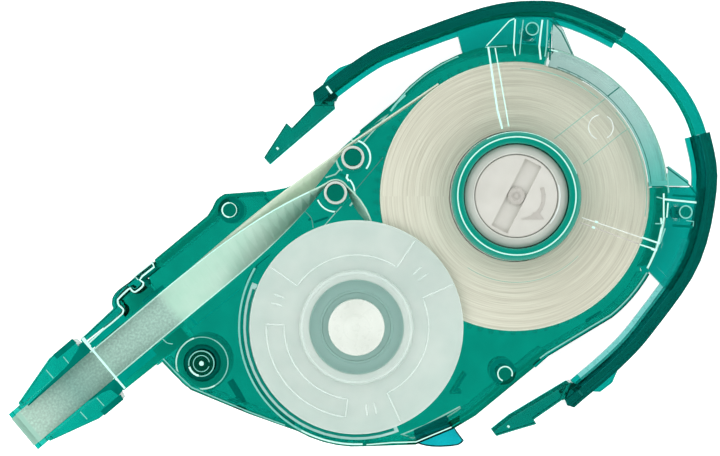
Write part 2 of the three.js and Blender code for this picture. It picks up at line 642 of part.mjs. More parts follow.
// Round a roller, then straight to the tangent point on a reel. The tape leaves both at one direction,
// and may lean over a little just after the roller.
function rollerToReel(roller, reel, reelRadius, lean) {
  const wrap = ROLLER_RADIUS + RUNNING_GAP + TAPE_THICKNESS / 2;
  const reach = reelRadius + RUNNING_GAP + TAPE_THICKNESS / 2;
  const toReel = reel.clone().sub(roller);
  const bearing = THREE.MathUtils.radToDeg(toReel.angle());
  const leave = bearing + THREE.MathUtils.radToDeg(Math.acos((wrap - reach) / toReel.length())) - 360;
  const height = (TAPE_BOTTOM + TAPE_TOP) / 2;
  const round = arc(wrap, NECK_ANGLE + 90, leave, roller).map((centre) => ({ centre, height, twist: 90 }));
  const leaving = round[round.length - 1].centre;
  const arriving = polar(reach, leave, reel);
  const between = [0.08, 0.16, 0.24, 0.32, 0.4, 1].map((share) => ({
    centre: leaving.clone().lerp(arriving, share),
    height,
    twist: 90 - (90 - lean) * Math.sin(Math.PI * Math.min(1, share / 0.4)),
  }));
  return [...round, ...between];
}

function tape(flatHeight, twistPower, roller, reel, reelRadius, lean) {
  const route = rollerToReel(roller, reel, reelRadius, lean);
  const start = inNeck(route[0].centre);
  return ribbon([...neckStations(flatHeight, start.x, start.y, twistPower).slice(0, -1), ...route]);
}

// ---------------------------------------------------------------- assembly
const GREEN = { color: 0x009280, roughness: 0.1, metalness: 0 };
const DEEP_GREEN = { color: 0x02554a, roughness: 0.12, metalness: 0 };
const CLEAR = { color: 0xa6c8c2, roughness: 0.05, metalness: 0, transparent: true, opacity: 0.4 };
const MILKY = { color: 0xdfede6, roughness: 0.35, metalness: 0 };
const CREAM = { color: 0xc3c4af, roughness: 0.7, metalness: 0 };
const PALE_GREY = { color: 0xd4d4cc, roughness: 0.4, metalness: 0 };
const FILM = { color: 0x97bdb2, roughness: 0.3, metalness: 0 };

const group = new THREE.Group();

function part(name, solid, look) {
  const mesh = new THREE.Mesh(toGeometry(solid), new THREE.MeshStandardMaterial(look));
  mesh.name = name;
  group.add(mesh);
}

part('rear_case', rearCase(), GREEN);
part('neck_clip_arm', neckClipArm(), GREEN);
part('neck_stud', neckStud(), GREEN);
part('locating_fin', locatingFin(), GREEN);
part('applicator_tip', applicatorTip(), GREEN);
part('front_cover', frontCover(), CLEAR);
Object.entries(COVER_PINS).forEach(([name, place]) => part(name, coverPin(place), GREEN));
part('outer_bow', outerBow(), DEEP_GREEN);
part('upper_snap_hook', snapHook(UPPER_HOOK), GREEN);
part('lower_snap_hook', snapHook(LOWER_HOOK), GREEN);
part('drive_gear', driveGear(), CLEAR);
part('clutch_spring', clutchSpring(), PALE_GREY);
part('supply_core', supplyCore(), PALE_GREY);
part('supply_roll', supplyRoll(), CREAM);
part('tension_knob', tensionKnob(), PALE_GREY);
part('takeup_gear', takeupGear(), CLEAR);
part('takeup_core', takeupCore(), MILKY);
part('used_tape_roll', ring(DRUM_RADIUS + RUNNING_GAP, USED_ROLL_RADIUS, TAPE_BOTTOM, TAPE_TOP, TAKEUP), FILM);
part('takeup_flange', takeupFlange(), MILKY);
part('takeup_hub_cap', takeupHubCap(), MILKY);
part('guide_roller_upper', guideRoller(UPPER_ROLLER), MILKY);
part('guide_roller_lower', guideRoller(LOWER_ROLLER), MILKY);
part('feed_tape', tape(FEED_FLAT_HEIGHT, FEED_TWIST_POWER, UPPER_ROLLER, new THREE.Vector2(), ROLL_RADIUS, 90), CREAM);
part('return_tape',
  tape(RETURN_FLAT_HEIGHT, RETURN_TWIST_POWER, LOWER_ROLLER, TAKEUP, USED_ROLL_RADIUS, RETURN_LEAN), FILM);

export default group;
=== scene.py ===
# Looks of a clear green correction tape cartridge lying on its back.
# Lengths are in millimetres and turned into metres where meshes are made. +Z is up, and the
# origin is on the supply reel's axis in the plane that the case rests on.
import math

import bmesh
import bpy
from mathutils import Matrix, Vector


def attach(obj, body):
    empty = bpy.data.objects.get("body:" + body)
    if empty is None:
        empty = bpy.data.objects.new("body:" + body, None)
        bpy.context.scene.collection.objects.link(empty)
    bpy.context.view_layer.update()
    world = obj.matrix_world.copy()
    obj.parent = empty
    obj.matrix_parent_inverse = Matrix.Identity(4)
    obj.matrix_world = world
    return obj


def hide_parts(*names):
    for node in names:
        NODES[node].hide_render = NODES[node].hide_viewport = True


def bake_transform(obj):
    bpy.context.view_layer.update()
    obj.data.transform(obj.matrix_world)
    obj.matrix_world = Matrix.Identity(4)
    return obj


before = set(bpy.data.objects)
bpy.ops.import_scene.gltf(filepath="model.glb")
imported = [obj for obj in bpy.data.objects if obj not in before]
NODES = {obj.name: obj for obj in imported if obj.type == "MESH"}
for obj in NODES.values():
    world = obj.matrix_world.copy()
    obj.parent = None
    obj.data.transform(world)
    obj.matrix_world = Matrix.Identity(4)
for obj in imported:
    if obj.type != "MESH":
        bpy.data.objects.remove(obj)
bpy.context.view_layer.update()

MM = 0.001

# ---------------------------------------------------------------- sizes shared with the CAD
SUPPLY = (0.0, 0.0)
TAKEUP = (28.5 * math.cos(math.radians(219.5)), 28.5 * math.sin(math.radians(219.5)))
NOSE = (-68.25, -32.6)
NECK_ANGLE = 40
NECK_BOSS = (-43.5, -23.2)
SMALL_BOSSES = ((-39.6, -1.9), (-1.4, -24.6))
UPPER_ROLLER = (-22.5, 5.4)
LOWER_ROLLER = (-24.9, 0.5)
ROLL_BORE, ROLL_RADIUS = 9.1, 18.7
TAPE_BOTTOM, TAPE_TOP = 4.0, 9.0
WALL_TOP = 9.0
COVER_TOP = 10.9
COLLAR_TOP = 12.4
FLANGE_TOP = 10.0
FLANGE_RADIUS = 14.8
PLATE_TOP = 1.2
UNDER_TAPE = 3.6
WEB_TOP = 3.9
RIB_TOP = 11.7
KNOB_TOP = 11.65
NECK_START = 14.3
COVER_PINS = ((2.2, 23.0), (23.3, -2.2))

# The bow's outer edge, from the upper hook round to the lower one
BOW_POINTS = (
    (-28.0, 14.4), (-21.5, 19.2), (-16.7, 21.7), (-4.8, 26.0), (2.4, 27.0), (8.4, 26.2), (16.5, 22.4),
    (21.6, 17.8), (25.0, 13.3), (27.0, 8.1), (27.8, 1.2), (25.4, -9.3), (19.2, -18.5), (14.7, -23.5),
    (8.0, -29.2),
)
BOW_STEPS = 60
BRIDGE_STEPS = (25, 38)    # where the shallow stretch between the bow's two arms begins and ends
PALE_STEP = 46             # from here to the lower hook the bow's inner wall has painted light at its foot
BOW_WALL_WIDTH, LIP_WIDTH = 1.5, 0.7
SKIN = 0.05                # thickness of the tinted skins on the inner walls


# ---------------------------------------------------------------- materials
def new_material(name, **values):
    """A Principled material; values are the shader's own sockets by name."""
    material = bpy.data.materials.new(name)
    material.use_nodes = True
    shader = material.node_tree.nodes["Principled BSDF"]
    for socket, value in values.items():
        shader.inputs[socket.replace("_", " ")].default_value = value
    return material, material.node_tree, shader


def node(tree, kind, **settings):
    made = tree.nodes.new(kind)
    for key, value in settings.items():
        setattr(made, key, value)
    return made


def math_node(tree, operation, a, b=None):
    made = node(tree, "ShaderNodeMath", operation=operation)
    for slot, value in enumerate((a, b)):
        if value is None:
            continue
        if isinstance(value, (int, float)):
            made.inputs[slot].default_value = value
        else:
            tree.links.new(value, made.inputs[slot])
    return made.outputs[0]


def position(tree, centre=(0.0, 0.0), turn=0.0):
    """The object's own coordinates in millimetres, from a centre and turned back by an angle."""
    coordinates = node(tree, "ShaderNodeTexCoord")
    mapping = node(tree, "ShaderNodeMapping", vector_type="TEXTURE")
    mapping.inputs["Location"].default_value = (centre[0] * MM, centre[1] * MM, 0)
    mapping.inputs["Rotation"].default_value = (0, 0, math.radians(turn))
    mapping.inputs["Scale"].default_value = (MM, MM, MM)
    tree.links.new(coordinates.outputs["Object"], mapping.inputs["Vector"])
    return mapping.outputs["Vector"]


def split(tree, vector):
    parts = node(tree, "ShaderNodeSeparateXYZ")
    tree.links.new(vector, parts.inputs[0])
    return parts.outputs


def polar_position(tree, centre):
    """Radius in millimetres and angle in radians round a vertical axis."""
    x, y, _ = split(tree, position(tree, centre))
    squares = [math_node(tree, "MULTIPLY", side, side) for side in (x, y)]
    return math_node(tree, "SQRT", math_node(tree, "ADD", *squares)), math_node(tree, "ARCTAN2", y, x)


def noise(tree, vector, scale, detail=2.0):
    made = node(tree, "ShaderNodeTexNoise")
    made.inputs["Scale"].default_value = scale
    made.inputs["Detail"].default_value = detail
    tree.links.new(vector, made.inputs["Vector"])
    return made.outputs["Fac"]


def ramp(tree, value, *stops):
    """Colours or greys along a value: (place, colour) pairs."""
    made = node(tree, "ShaderNodeValToRGB")
    elements = made.color_ramp.elements
    while len(elements) < len(stops):
        elements.new(1.0)
    for element, (place, colour) in zip(elements, stops):
        element.position = place
        element.color = (*colour, 1) if isinstance(colour, tuple) else (colour, colour, colour, 1)
    tree.links.new(value, made.inputs["Fac"])
    return made.outputs["Color"]


def mix(tree, factor, a, b):
    """Blend of two colours, each a tuple or a socket."""
    made = node(tree, "ShaderNodeMix", data_type="RGBA")
    tree.links.new(factor, made.inputs["Factor"])
    for key, value in (("A", a), ("B", b)):
        socket = next(s for s in made.inputs if s.name == key and s.type == "RGBA")
        if isinstance(value, tuple):
            socket.default_value = (*value, 1)
        else:
            tree.links.new(value, socket)
    return next(s for s in made.outputs if s.type == "RGBA")


def by_height(tree, place, low, high, lower, upper):
    """Blend from a lower colour to an upper one between two heights."""
    upward = node(tree, "ShaderNodeMapRange")
    upward.inputs["From Min"].default_value = low
    upward.inputs["From Max"].default_value = high
    tree.links.new(split(tree, place)[2], upward.inputs["Value"])
    return mix(tree, upward.outputs[0], lower, upper)


def bump(tree, shader, height, strength, distance=0.0001):
    made = node(tree, "ShaderNodeBump")
    made.inputs["Strength"].default_value = strength
    made.inputs["Distance"].default_value = distance
    tree.links.new(height, made.inputs["Height"])
    tree.links.new(made.outputs["Normal"], shader.inputs["Normal"])


def polish(tree, shader, texture, low, high):
    """A surface that is a little more or less rough from place to place."""
    tree.links.new(ramp(tree, texture, (0.3, low), (0.7, high)), shader.inputs["Roughness"])


def absorb(material, colour, density):
    tree = material.node_tree
    volume = node(tree, "ShaderNodeVolumeAbsorption")
    volume.inputs["Color"].default_value = (*colour, 1)
    volume.inputs["Density"].default_value = density
    tree.links.new(volume.outputs[0], tree.nodes["Material Output"].inputs["Volume"])


POLYSTYRENE = 1.58                 # refractive index
SHEEN = (0.25, 0.85, 0.75, 1.0)    # green cast of the reflections between the faces of a dyed wall


def clear_plastic(name, tint, dye, density, roughness=0.05, low_tint=None):
    """Clear moulded polystyrene: tinted, with faint flow marks and a slightly uneven polish.
    Low_tint is the colour of its thin stretches, which stay below the full height."""
    material, tree, shader = new_material(name, Transmission_Weight=1.0, IOR=POLYSTYRENE,
                                          Specular_Tint=SHEEN)
    place = position(tree)
    cloud = noise(tree, place, 0.35)
    low, high = [tuple(min(1.0, channel * k) for channel in tint) for k in (0.94, 1.06)]
    colour = ramp(tree, cloud, (0.3, low), (0.7, high))
    if low_tint:
        colour = by_height(tree, place, 8.4, 9.4, low_tint, colour)
    tree.links.new(colour, shader.inputs["Base Color"])
    polish(tree, shader, noise(tree, place, 1.7), roughness * 0.6, roughness * 1.6)
    bump(tree, shader, noise(tree, place, 0.8), 0.12)
    absorb(material, dye, density)
    return material


GREEN_DYE = (0.02, 0.62, 0.56)
GREEN = clear_plastic("clear_green", (0.002, 0.385, 0.29), GREEN_DYE, 150)
ARM_GREEN = clear_plastic("clear_green_arm", (0.002, 0.32, 0.26), GREEN_DYE, 120)
HOOK_GREEN = clear_plastic("clear_green_hook", (0.002, 0.20, 0.155), GREEN_DYE, 120)
DEEP_GREEN = clear_plastic("deep_green", (0.001, 0.082, 0.076), GREEN_DYE, 240,
                           low_tint=(0.002, 0.33, 0.285))
CYAN = clear_plastic("clear_cyan", (0.004, 0.34, 0.38), (0.05, 0.7, 0.8), 100)
NATURAL = clear_plastic("natural_clear", (0.92, 0.98, 0.96), (0.7, 0.9, 0.85), 10)


def cover_sheet_film():
    """The thin clear sheet, which lets most of the light straight through."""
    material, tree, shader = new_material("clear_film", Transmission_Weight=1.0, IOR=1.3, Alpha=0.2)
    place = position(tree)
    tint = ramp(tree, noise(tree, place, 0.3), (0.3, (0.93, 0.98, 0.96)), (0.7, (0.97, 1.0, 0.99)))
    tree.links.new(tint, shader.inputs["Base Color"])
    polish(tree, shader, noise(tree, place, 2.0), 0.02, 0.06)
    bump(tree, shader, noise(tree, place, 0.9), 0.08)
    return material


def cover_rim_film():
    """The cover's deep rim: greyish turquoise at its top end, greener towards the right lug."""
    material, tree, shader = new_material("clear_rim", Transmission_Weight=1.0, IOR=1.25)
    place = position(tree)
    _, angle = polar_position(tree, SUPPLY)
    tint = ramp(tree, angle,
                (0.1, (0.11, 0.49, 0.435)), (0.55, (0.30, 0.52, 0.49)), (0.95, (0.37, 0.54, 0.51)))
    cloud = ramp(tree, noise(tree, place, 0.5), (0.3, 0.94), (0.7, 1.0))
    shade = node(tree, "ShaderNodeVectorMath", operation="MULTIPLY")
    tree.links.new(tint, shade.inputs[0])
    tree.links.new(cloud, shade.inputs[1])
    tree.links.new(shade.outputs[0], shader.inputs["Base Color"])
    polish(tree, shader, noise(tree, place, 2.0), 0.05, 0.12)
    bump(tree, shader, noise(tree, place, 0.9), 0.08)
    return material


def wound_tape():
    """The face of the roll: the edges of hundreds of turns, with painted sheen in soft light and dark fans.
    """
    material, tree, shader = new_material("cream_tape", Roughness=0.55)
    radius, angle = polar_position(tree, SUPPLY)
    turns = node(tree, "ShaderNodeCombineXYZ")
    tree.links.new(math_node(tree, "MULTIPLY", radius, 5.5), turns.inputs[0])
    tree.links.new(math_node(tree, "MULTIPLY", angle, 0.9), turns.inputs[1])
    lines = noise(tree, turns.outputs[0], 1.0, 3.0)
    fine = noise(tree, turns.outputs[0], 3.1, 1.0)
    # painted sheen: two light and two dark fans round the roll, where the turns' edges catch the light
    fans = math_node(tree, "SINE", math_node(tree, "ADD", math_node(tree, "MULTIPLY", angle, 2.0), 0.4))
    shade = math_node(tree, "MULTIPLY", fans, 0.07)
    for texture, share in ((lines, 0.65), (fine, 0.35)):
        shade = math_node(tree, "ADD", shade, math_node(tree, "MULTIPLY", texture, share))
    colour = ramp(tree, shade,
                  (0.34, (0.47, 0.465, 0.37)), (0.5, (0.58, 0.58, 0.47)), (0.66, (0.67, 0.68, 0.56)))
    tree.links.new(colour, shader.inputs["Base Color"])
    bump(tree, shader, lines, 0.5)
    return material


def milky(name, low, high, transmission, roughness=0.38, glow=0.0, recess=None):
    """Half see-through moulded plastic with a faint cloudiness. Glow is painted light, an emission
    for the light that a fine rib takes up from the clear plastic it stands on, and recess the painted
    shade and painted green show-through of the hollow below the flange's top."""
    material, tree, shader = new_material(name, Transmission_Weight=transmission, IOR=1.45)
    shader.inputs["Emission Color"].default_value = (*high, 1)
    shader.inputs["Emission Strength"].default_value = glow
    place = position(tree)
    colour = ramp(tree, noise(tree, place, 0.25), (0.3, low), (0.7, high))
    if recess:
        colour = by_height(tree, place, 9.1, 9.9, recess, colour)
    tree.links.new(colour, shader.inputs["Base Color"])
    polish(tree, shader, noise(tree, place, 1.4), roughness * 0.8, roughness * 1.2)
    bump(tree, shader, noise(tree, place, 6.0), 0.06)
    return material


def matt(name, low, high, glow=0.0):
    """Plastic that shows only its base colour, without reflections: painted shade in creases, and seams,
    rails and fine lines. Glow is painted light, as for the milky plastic.
    """
    material, tree, shader = new_material(name, Roughness=0.5, Specular_IOR_Level=0.0)
    shader.inputs["Emission Color"].default_value = (*high, 1)
    shader.inputs["Emission Strength"].default_value = glow
    cloud = noise(tree, position(tree), 0.6)
    tree.links.new(ramp(tree, cloud, (0.3, low), (0.7, high)), shader.inputs["Base Color"])
    bump(tree, shader, cloud, 0.08)
    return material


def skin(name, low, high):
    """A thin clear skin whose tint paints the colour, light and shade that a wall shows when seen almost
    along its face.
    """
    material, tree, shader = new_material(name, Transmission_Weight=1.0, IOR=1.0)
    cloud = noise(tree, position(tree), 0.6)
    tree.links.new(ramp(tree, cloud, (0.3, low), (0.7, high)), shader.inputs["Base Color"])
    polish(tree, shader, cloud, 0.02, 0.06)
    return material


MILKY = milky("milky_plastic", (0.67, 0.79, 0.73), (0.76, 0.86, 0.80), 0.35)
# The flange's recess colour is painted shade and painted green show-through in its hollow.
FLANGE_MILKY = milky("flange_plastic", (0.67, 0.79, 0.73), (0.76, 0.86, 0.80), 0.35,
                     recess=(0.46, 0.72, 0.66))
WHITE = milky("white_plastic", (0.61, 0.66, 0.60), (0.70, 0.75, 0.69), 0.0, 0.3)
PALE_GREY = milky("pale_grey_plastic", (0.56, 0.56, 0.51), (0.63, 0.63, 0.58), 0.0, 0.35)
# Painted highlight: pale white strips where the reel core and the cover's lines catch the light.
BEAD = milky("painted_highlight_white", (0.84, 0.93, 0.90), (0.92, 1.0, 0.97), 0.2, 0.2)
# Painted highlight with a painted glow: bright strips along edges and crests of the clear plastic and the
# tape.
GLINT = milky("painted_glint", (0.42, 0.68, 0.62), (0.52, 0.78, 0.71), 0.25, 0.15, glow=0.4)
# Dimmer painted highlight with a painted glow: pale mint lines along edges of the clear plastic.
MINT = milky("pale_mint", (0.12, 0.42, 0.36), (0.18, 0.50, 0.44), 0.2, 0.2, glow=0.3)
# Painted shade: dark green strips where creases, gaps and thick walls look dark.
SHADE = matt("painted_shade_line", (0.0, 0.125, 0.095), (0.0, 0.16, 0.125))
KNOB_MARKS = milky("knob_marks", (0.42, 0.41, 0.37), (0.50, 0.49, 0.45), 0.0, 0.3)
CORE_GREY = milky("core_grey", (0.46, 0.49, 0.44), (0.54, 0.57, 0.52), 0.0, 0.35)
COLLAR_GREEN = milky("collar_green", (0.0, 0.30, 0.215), (0.0, 0.34, 0.25), 0.25, 0.15)
# Painted shade low in the case, with a painted glow that keeps its tone at any depth.
LOW_SHADE = matt("low_shade", (0.0, 0.115, 0.09), (0.0, 0.15, 0.12), glow=0.7)
# Faint green lines low in the case, lit by a painted glow.
LOW_LINE = matt("low_line", (0.0, 0.24, 0.19), (0.0, 0.30, 0.24), glow=0.7)
# Tinted skins in painted tones for the bow's inner wall: lighter on the upper arm and bridge, painted
# shadow on the lower arm, painted light at its foot on the upper arm and by the lower hook.
BOW_WALL = skin("bow_wall", (0.03, 0.56, 0.49), (0.05, 0.62, 0.54))
BOW_SHADOW = skin("bow_shadow", (0.01, 0.33, 0.31), (0.02, 0.37, 0.35))
BOW_PAINTED_LIGHT = skin("bow_pale", (0.42, 0.79, 0.77), (0.48, 0.84, 0.82))
HOOK_WALL = skin("hook_wall", (0.03, 0.44, 0.38), (0.05, 0.48, 0.42))
RAIL_GREEN = matt("rail_green", (0.0, 0.22, 0.17), (0.0, 0.26, 0.205))
# Its glow is painted light that lifts the shade the flange casts on the ledge.
POCKET_LEDGE = matt("pocket_ledge", (0.34, 0.56, 0.52), (0.40, 0.62, 0.58), glow=0.35)
FINE_GREEN = matt("fine_green", (0.20, 0.44, 0.35), (0.26, 0.50, 0.41))
# Its glow is painted light that lifts the shade on the feed tape's upright twist.
FEED_FILM = milky("feed_film", (0.60, 0.69, 0.57), (0.68, 0.76, 0.64), 0.35, glow=0.15)
FLANGE_BEAD = milky("flange_bead", (0.54, 0.65, 0.60), (0.60, 0.70, 0.65), 0.0, 0.3)
# Painted light with a strong painted glow: the lit top of the bow's lip by the lower hook.
LIP_PAINTED_LIGHT = milky("lip_strip", (0.14, 0.46, 0.44), (0.18, 0.50, 0.48), 0.2, 0.3, glow=0.8)


def tape_film():
    """Used tape film: bare at the nose, then grainy where it lies flat, then smooth in its twist."""
    material, tree, shader = new_material("backing_film", Roughness=0.35)
    place = position(tree, NOSE, NECK_ANGLE)
    along = split(tree, place)[0]
    grain = ramp(tree, noise(tree, place, 3.2, 3.0), (0.32, 0.78), (0.5, 0.92), (0.68, 1.12))
    level = ramp(tree, math_node(tree, "DIVIDE", along, 30.0),
                 (0.03, (0.42, 0.62, 0.52)), (0.12, (0.42, 0.60, 0.51)), (0.30, (0.23, 0.42, 0.36)),
                 (0.46, (0.28, 0.46, 0.39)), (0.50, (0.36, 0.56, 0.48)))
    grainy = node(tree, "ShaderNodeVectorMath", operation="MULTIPLY")
    tree.links.new(level, grainy.inputs[0])
    tree.links.new(grain, grainy.inputs[1])
    smooth_film = ramp(tree, noise(tree, place, 0.2),
                       (0.35, (0.40, 0.66, 0.53)), (0.65, (0.50, 0.72, 0.60)))

    def between(low, high):
        made = node(tree, "ShaderNodeMapRange", interpolation_type="SMOOTHSTEP")
        made.inputs["From Min"].default_value = low
        made.inputs["From Max"].default_value = high
        tree.links.new(along, made.inputs["Value"])
        return made.outputs[0]

    bare = mix(tree, between(0.9, 1.2), (0.32, 0.56, 0.46), grainy.outputs[0])
    tree.links.new(mix(tree, between(25.6, 27.2), bare, smooth_film), shader.inputs["Base Color"])
    bump(tree, shader, noise(tree, place, 4.0, 3.0), 0.15)
    return material


COVER_FILM = cover_sheet_film()
RIM_FILM = cover_rim_film()
CREAM_TAPE = wound_tape()
FILM = tape_film()


# ---------------------------------------------------------------- mesh helpers
def polar(radius, degrees, centre=(0.0, 0.0)):
    angle = math.radians(degrees)
    return (centre[0] + radius * math.cos(angle), centre[1] + radius * math.sin(angle))


def arc(radius, start, end, centre=(0.0, 0.0), step=2.5):
    count = max(2, math.ceil(abs(end - start) / step))
    return [polar(radius, start + (end - start) * i / count, centre) for i in range(count + 1)]


def smooth(points, steps):
    """A Catmull-Rom curve through the points."""
    curve = []
    last = len(points) - 1
    for i in range(steps + 1):
        at = i / steps * last
        k = min(int(at), last - 1)
        t = at - k
        a, b, c, d = (points[min(max(j, 0), last)] for j in (k - 1, k, k + 1, k + 2))
        curve.append(tuple(
            0.5 * (2 * q + (r - p) * t + (2 * p - 5 * q + 4 * r - s) * t * t
                   + (3 * q - p - 3 * r + s) * t ** 3)
            for p, q, r, s in zip(a, b, c, d)))
    return curve


def shifted(line, distance):
    """The line moved to its right by a distance."""
    moved = []
    for i, (x, y) in enumerate(line):
        before, after = line[max(i - 1, 0)], line[min(i + 1, len(line) - 1)]
        ahead = Vector((after[0] - before[0], after[1] - before[1])).normalized()
        moved.append((x + ahead.y * distance, y - ahead.x * distance))
    return moved


def in_neck(x, y):
    """A point given along and across the neck, back from the nose."""
    cosine, sine = math.cos(math.radians(NECK_ANGLE)), math.sin(math.radians(NECK_ANGLE))
    return (NOSE[0] + x * cosine - y * sine, NOSE[1] + x * sine + y * cosine)


def finish_piece(name, bm, material, body, replaced=()):
    bmesh.ops.recalc_face_normals(bm, faces=bm.faces)
    bmesh.ops.scale(bm, vec=(MM, MM, MM), verts=bm.verts)
    mesh = bpy.data.meshes.new(name)
    bm.to_mesh(mesh)
    bm.free()
    mesh.shade_smooth()
    mesh.set_sharp_from_angle(angle=math.radians(32))
    mesh.materials.append(material)
    piece = bpy.data.objects.new(name, mesh)
    bpy.context.scene.collection.objects.link(piece)
    if body:
        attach(piece, body)
    if replaced:
        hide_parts(*replaced)
    return piece


def cut(piece, cutter, name):
    """Takes a closed shape out of a piece."""
    bmesh.ops.recalc_face_normals(cutter, faces=cutter.faces)
    bmesh.ops.scale(cutter, vec=(MM, MM, MM), verts=cutter.verts)
    mesh = bpy.data.meshes.new(name)
    cutter.to_mesh(mesh)
    cutter.free()
    tool = bpy.data.objects.new(name, mesh)
    bpy.context.scene.collection.objects.link(tool)
    modifier = piece.modifiers.new(name, "BOOLEAN")
    modifier.operation = "DIFFERENCE"
    modifier.solver = "EXACT"
    modifier.object = tool
    bpy.context.view_layer.update()
    evaluated = piece.evaluated_get(bpy.context.evaluated_depsgraph_get())
    result = bpy.data.meshes.new_from_object(evaluated)
    piece.modifiers.clear()
    piece.data = result
    piece.data.set_sharp_from_angle(angle=math.radians(32))
    bpy.data.objects.remove(tool)


def add_lathe(bm, profile, centre, steps=128):
    """Turns a closed profile of (radius, height) pairs round a vertical axis."""
    rings = []
    for radius, height in profile:
        if radius == 0:
            rings.append([bm.verts.new((*centre, height))] * steps)
        else:
            circle = [polar(radius, 360 * i / steps, centre) for i in range(steps)]
            rings.append([bm.verts.new((*point, height)) for point in circle])
    on_axis = profile[0][0] == 0
    pairs = list(zip(rings, rings[1:])) + ([] if on_axis else [(rings[-1], rings[0])])
    for low, high in pairs:
        for i in range(steps):
            j = (i + 1) % steps
            corners = [low[i], low[j], high[j], high[i]]
            distinct = [v for k, v in enumerate(corners) if v not in corners[:k]]
            if len(distinct) > 2:
                bm.faces.new(distinct)


def add_prism(bm, outline, bottom, top):
    floor = [bm.verts.new((x, y, bottom)) for x, y in outline]
    roof = [bm.verts.new((x, y, top)) for x, y in outline]
    bm.faces.new(floor)
    bm.faces.new(roof)
    for i in range(len(outline)):
        j = (i + 1) % len(outline)
        bm.faces.new((floor[i], floor[j], roof[j], roof[i]))


def add_ribbon(bm, line, thickness, bottom, top):
    """A thin upright wall on the right of a line, or on its left if the thickness is negative."""
    add_prism(bm, [*line, *reversed(shifted(line, thickness))], bottom, top)


def add_bead(bm, line, width, bottom, height, closed=False):
    """A rounded bead along a line: five-sided section, narrower at its crest.
    A line's points may carry their own height, which adds to the bottom's."""
    section = [(-0.5, 0.0), (-0.42, 0.6), (0.0, 1.0), (0.42, 0.6), (0.5, 0.0)]
    count = len(line)
    rows = []
    for i, (x, y, *rise) in enumerate(line):
        before = line[i - 1] if i or closed else line[0]
        after = line[(i + 1) % count] if i < count - 1 or closed else line[-1]
        ahead = Vector((after[0] - before[0], after[1] - before[1])).normalized()
        foot = bottom + sum(rise)
        rows.append([bm.verts.new((x - ahead.y * s * width, y + ahead.x * s * width, foot + h * height))
                     for s, h in section])
    stretches = list(zip(rows, rows[1:])) + ([(rows[-1], rows[0])] if closed else [])
    for a, b in stretches:
        for k in range(len(section)):
            m = (k + 1) % len(section)
            bm.faces.new((a[k], a[m], b[m], b[k]))
    if not closed:
        bm.faces.new(rows[0])
        bm.faces.new(rows[-1])


def draw(name, material, lines, body="case"):
    """Fine beads as one piece, mostly painted highlights and painted shade along edges and creases: each
    line is (points, width, bottom).
    """
    ribs = bmesh.new()
    for line, width, bottom in lines:
        add_bead(ribs, line, width, bottom, 0.4 * width)
    finish_piece(name, ribs, material, body)


# ---------------------------------------------------------------- CAD nodes that keep their shape
def soften(node_name, width):
    """Small rounded edges on a CAD node, with its nearly level neighbouring faces merged; its faces are
    shaded flat.
    """
    piece = NODES[node_name]
    weld = piece.modifiers.new("weld", "WELD")
    weld.merge_threshold = 0.00001
    flat = piece.modifiers.new("flat faces", "DECIMATE")
    flat.decimate_type = "DISSOLVE"
    flat.angle_limit = math.radians(0.5)
    rounding = piece.modifiers.new("rounded edges", "BEVEL")
    rounding.width = width * MM
    rounding.segments = 2
    rounding.limit_method = "ANGLE"
    rounding.angle_limit = math.radians(32)
    rounding.use_clamp_overlap = True
    for polygon in piece.data.polygons:
        polygon.use_smooth = False


def paint(material, *names):
    for name in names:
        piece = NODES[name]
        piece.data.materials.clear()
        piece.data.materials.append(material)


paint(GREEN, "rear_case")
paint(ARM_GREEN, "neck_clip_arm", "neck_stud", "cover_pin_top", "cover_pin_right", "applicator_tip")
paint(HOOK_GREEN, "upper_snap_hook", "lower_snap_hook")
paint(DEEP_GREEN, "outer_bow")
paint(CYAN, "locating_fin")
paint(NATURAL, "drive_gear", "takeup_gear")
paint(MILKY, "takeup_core")
paint(WHITE, "guide_roller_upper", "guide_roller_lower", "clutch_spring")
paint(FILM, "used_tape_roll", "return_tape")
paint(FEED_FILM, "feed_tape")

for name in ("outer_bow", "upper_snap_hook", "lower_snap_hook", "applicator_tip", "neck_clip_arm"):
    soften(name, 0.12)


# ---------------------------------------------------------------- supply reel
def supply_reel():
    roll = bmesh.new()
    add_lathe(roll, [
        (ROLL_BORE, TAPE_BOTTOM), (ROLL_RADIUS - 0.1, TAPE_BOTTOM), (ROLL_RADIUS, TAPE_BOTTOM + 0.1),
        (ROLL_RADIUS, TAPE_TOP - 0.1), (ROLL_RADIUS - 0.1, TAPE_TOP), (14, TAPE_TOP + 0.04),
        (ROLL_BORE, TAPE_TOP),
    ], SUPPLY, 160)
    finish_piece("wound_roll", roll, CREAM_TAPE, "supply_reel", ["supply_roll"])

    core = bmesh.new()
    add_lathe(core, [
        (3.5, 3.3), (9.0, 3.3), (9.0, 8.9), (8.9, 9.0), (7.1, 9.0), (7.1, 11.45), (7.0, 11.55),
        (6.15, 11.75), (5.95, 11.8), (5.80, 11.75), (5.77, 11.6), (5.77, 9.3), (6.05, 9.0), (6.05, 8.3),
        (7.4, 8.3), (7.4, 4.2), (3.5, 4.2),
    ], SUPPLY)
    finish_piece("reel_core", core, CORE_GREY, "supply_reel", ["supply_core"])
    # painted highlights: a pale arc on the core's rim and a pale line round the roll's edge
    draw("core_glint", BEAD, [(arc(5.98, 15, -40), 0.16, 11.78)], "supply_reel")
    edge = arc(ROLL_RADIUS - 0.1, 95, 355)
    draw("roll_edge_painted_highlight", FEED_FILM, [(edge, 0.12, TAPE_TOP)], "supply_reel")


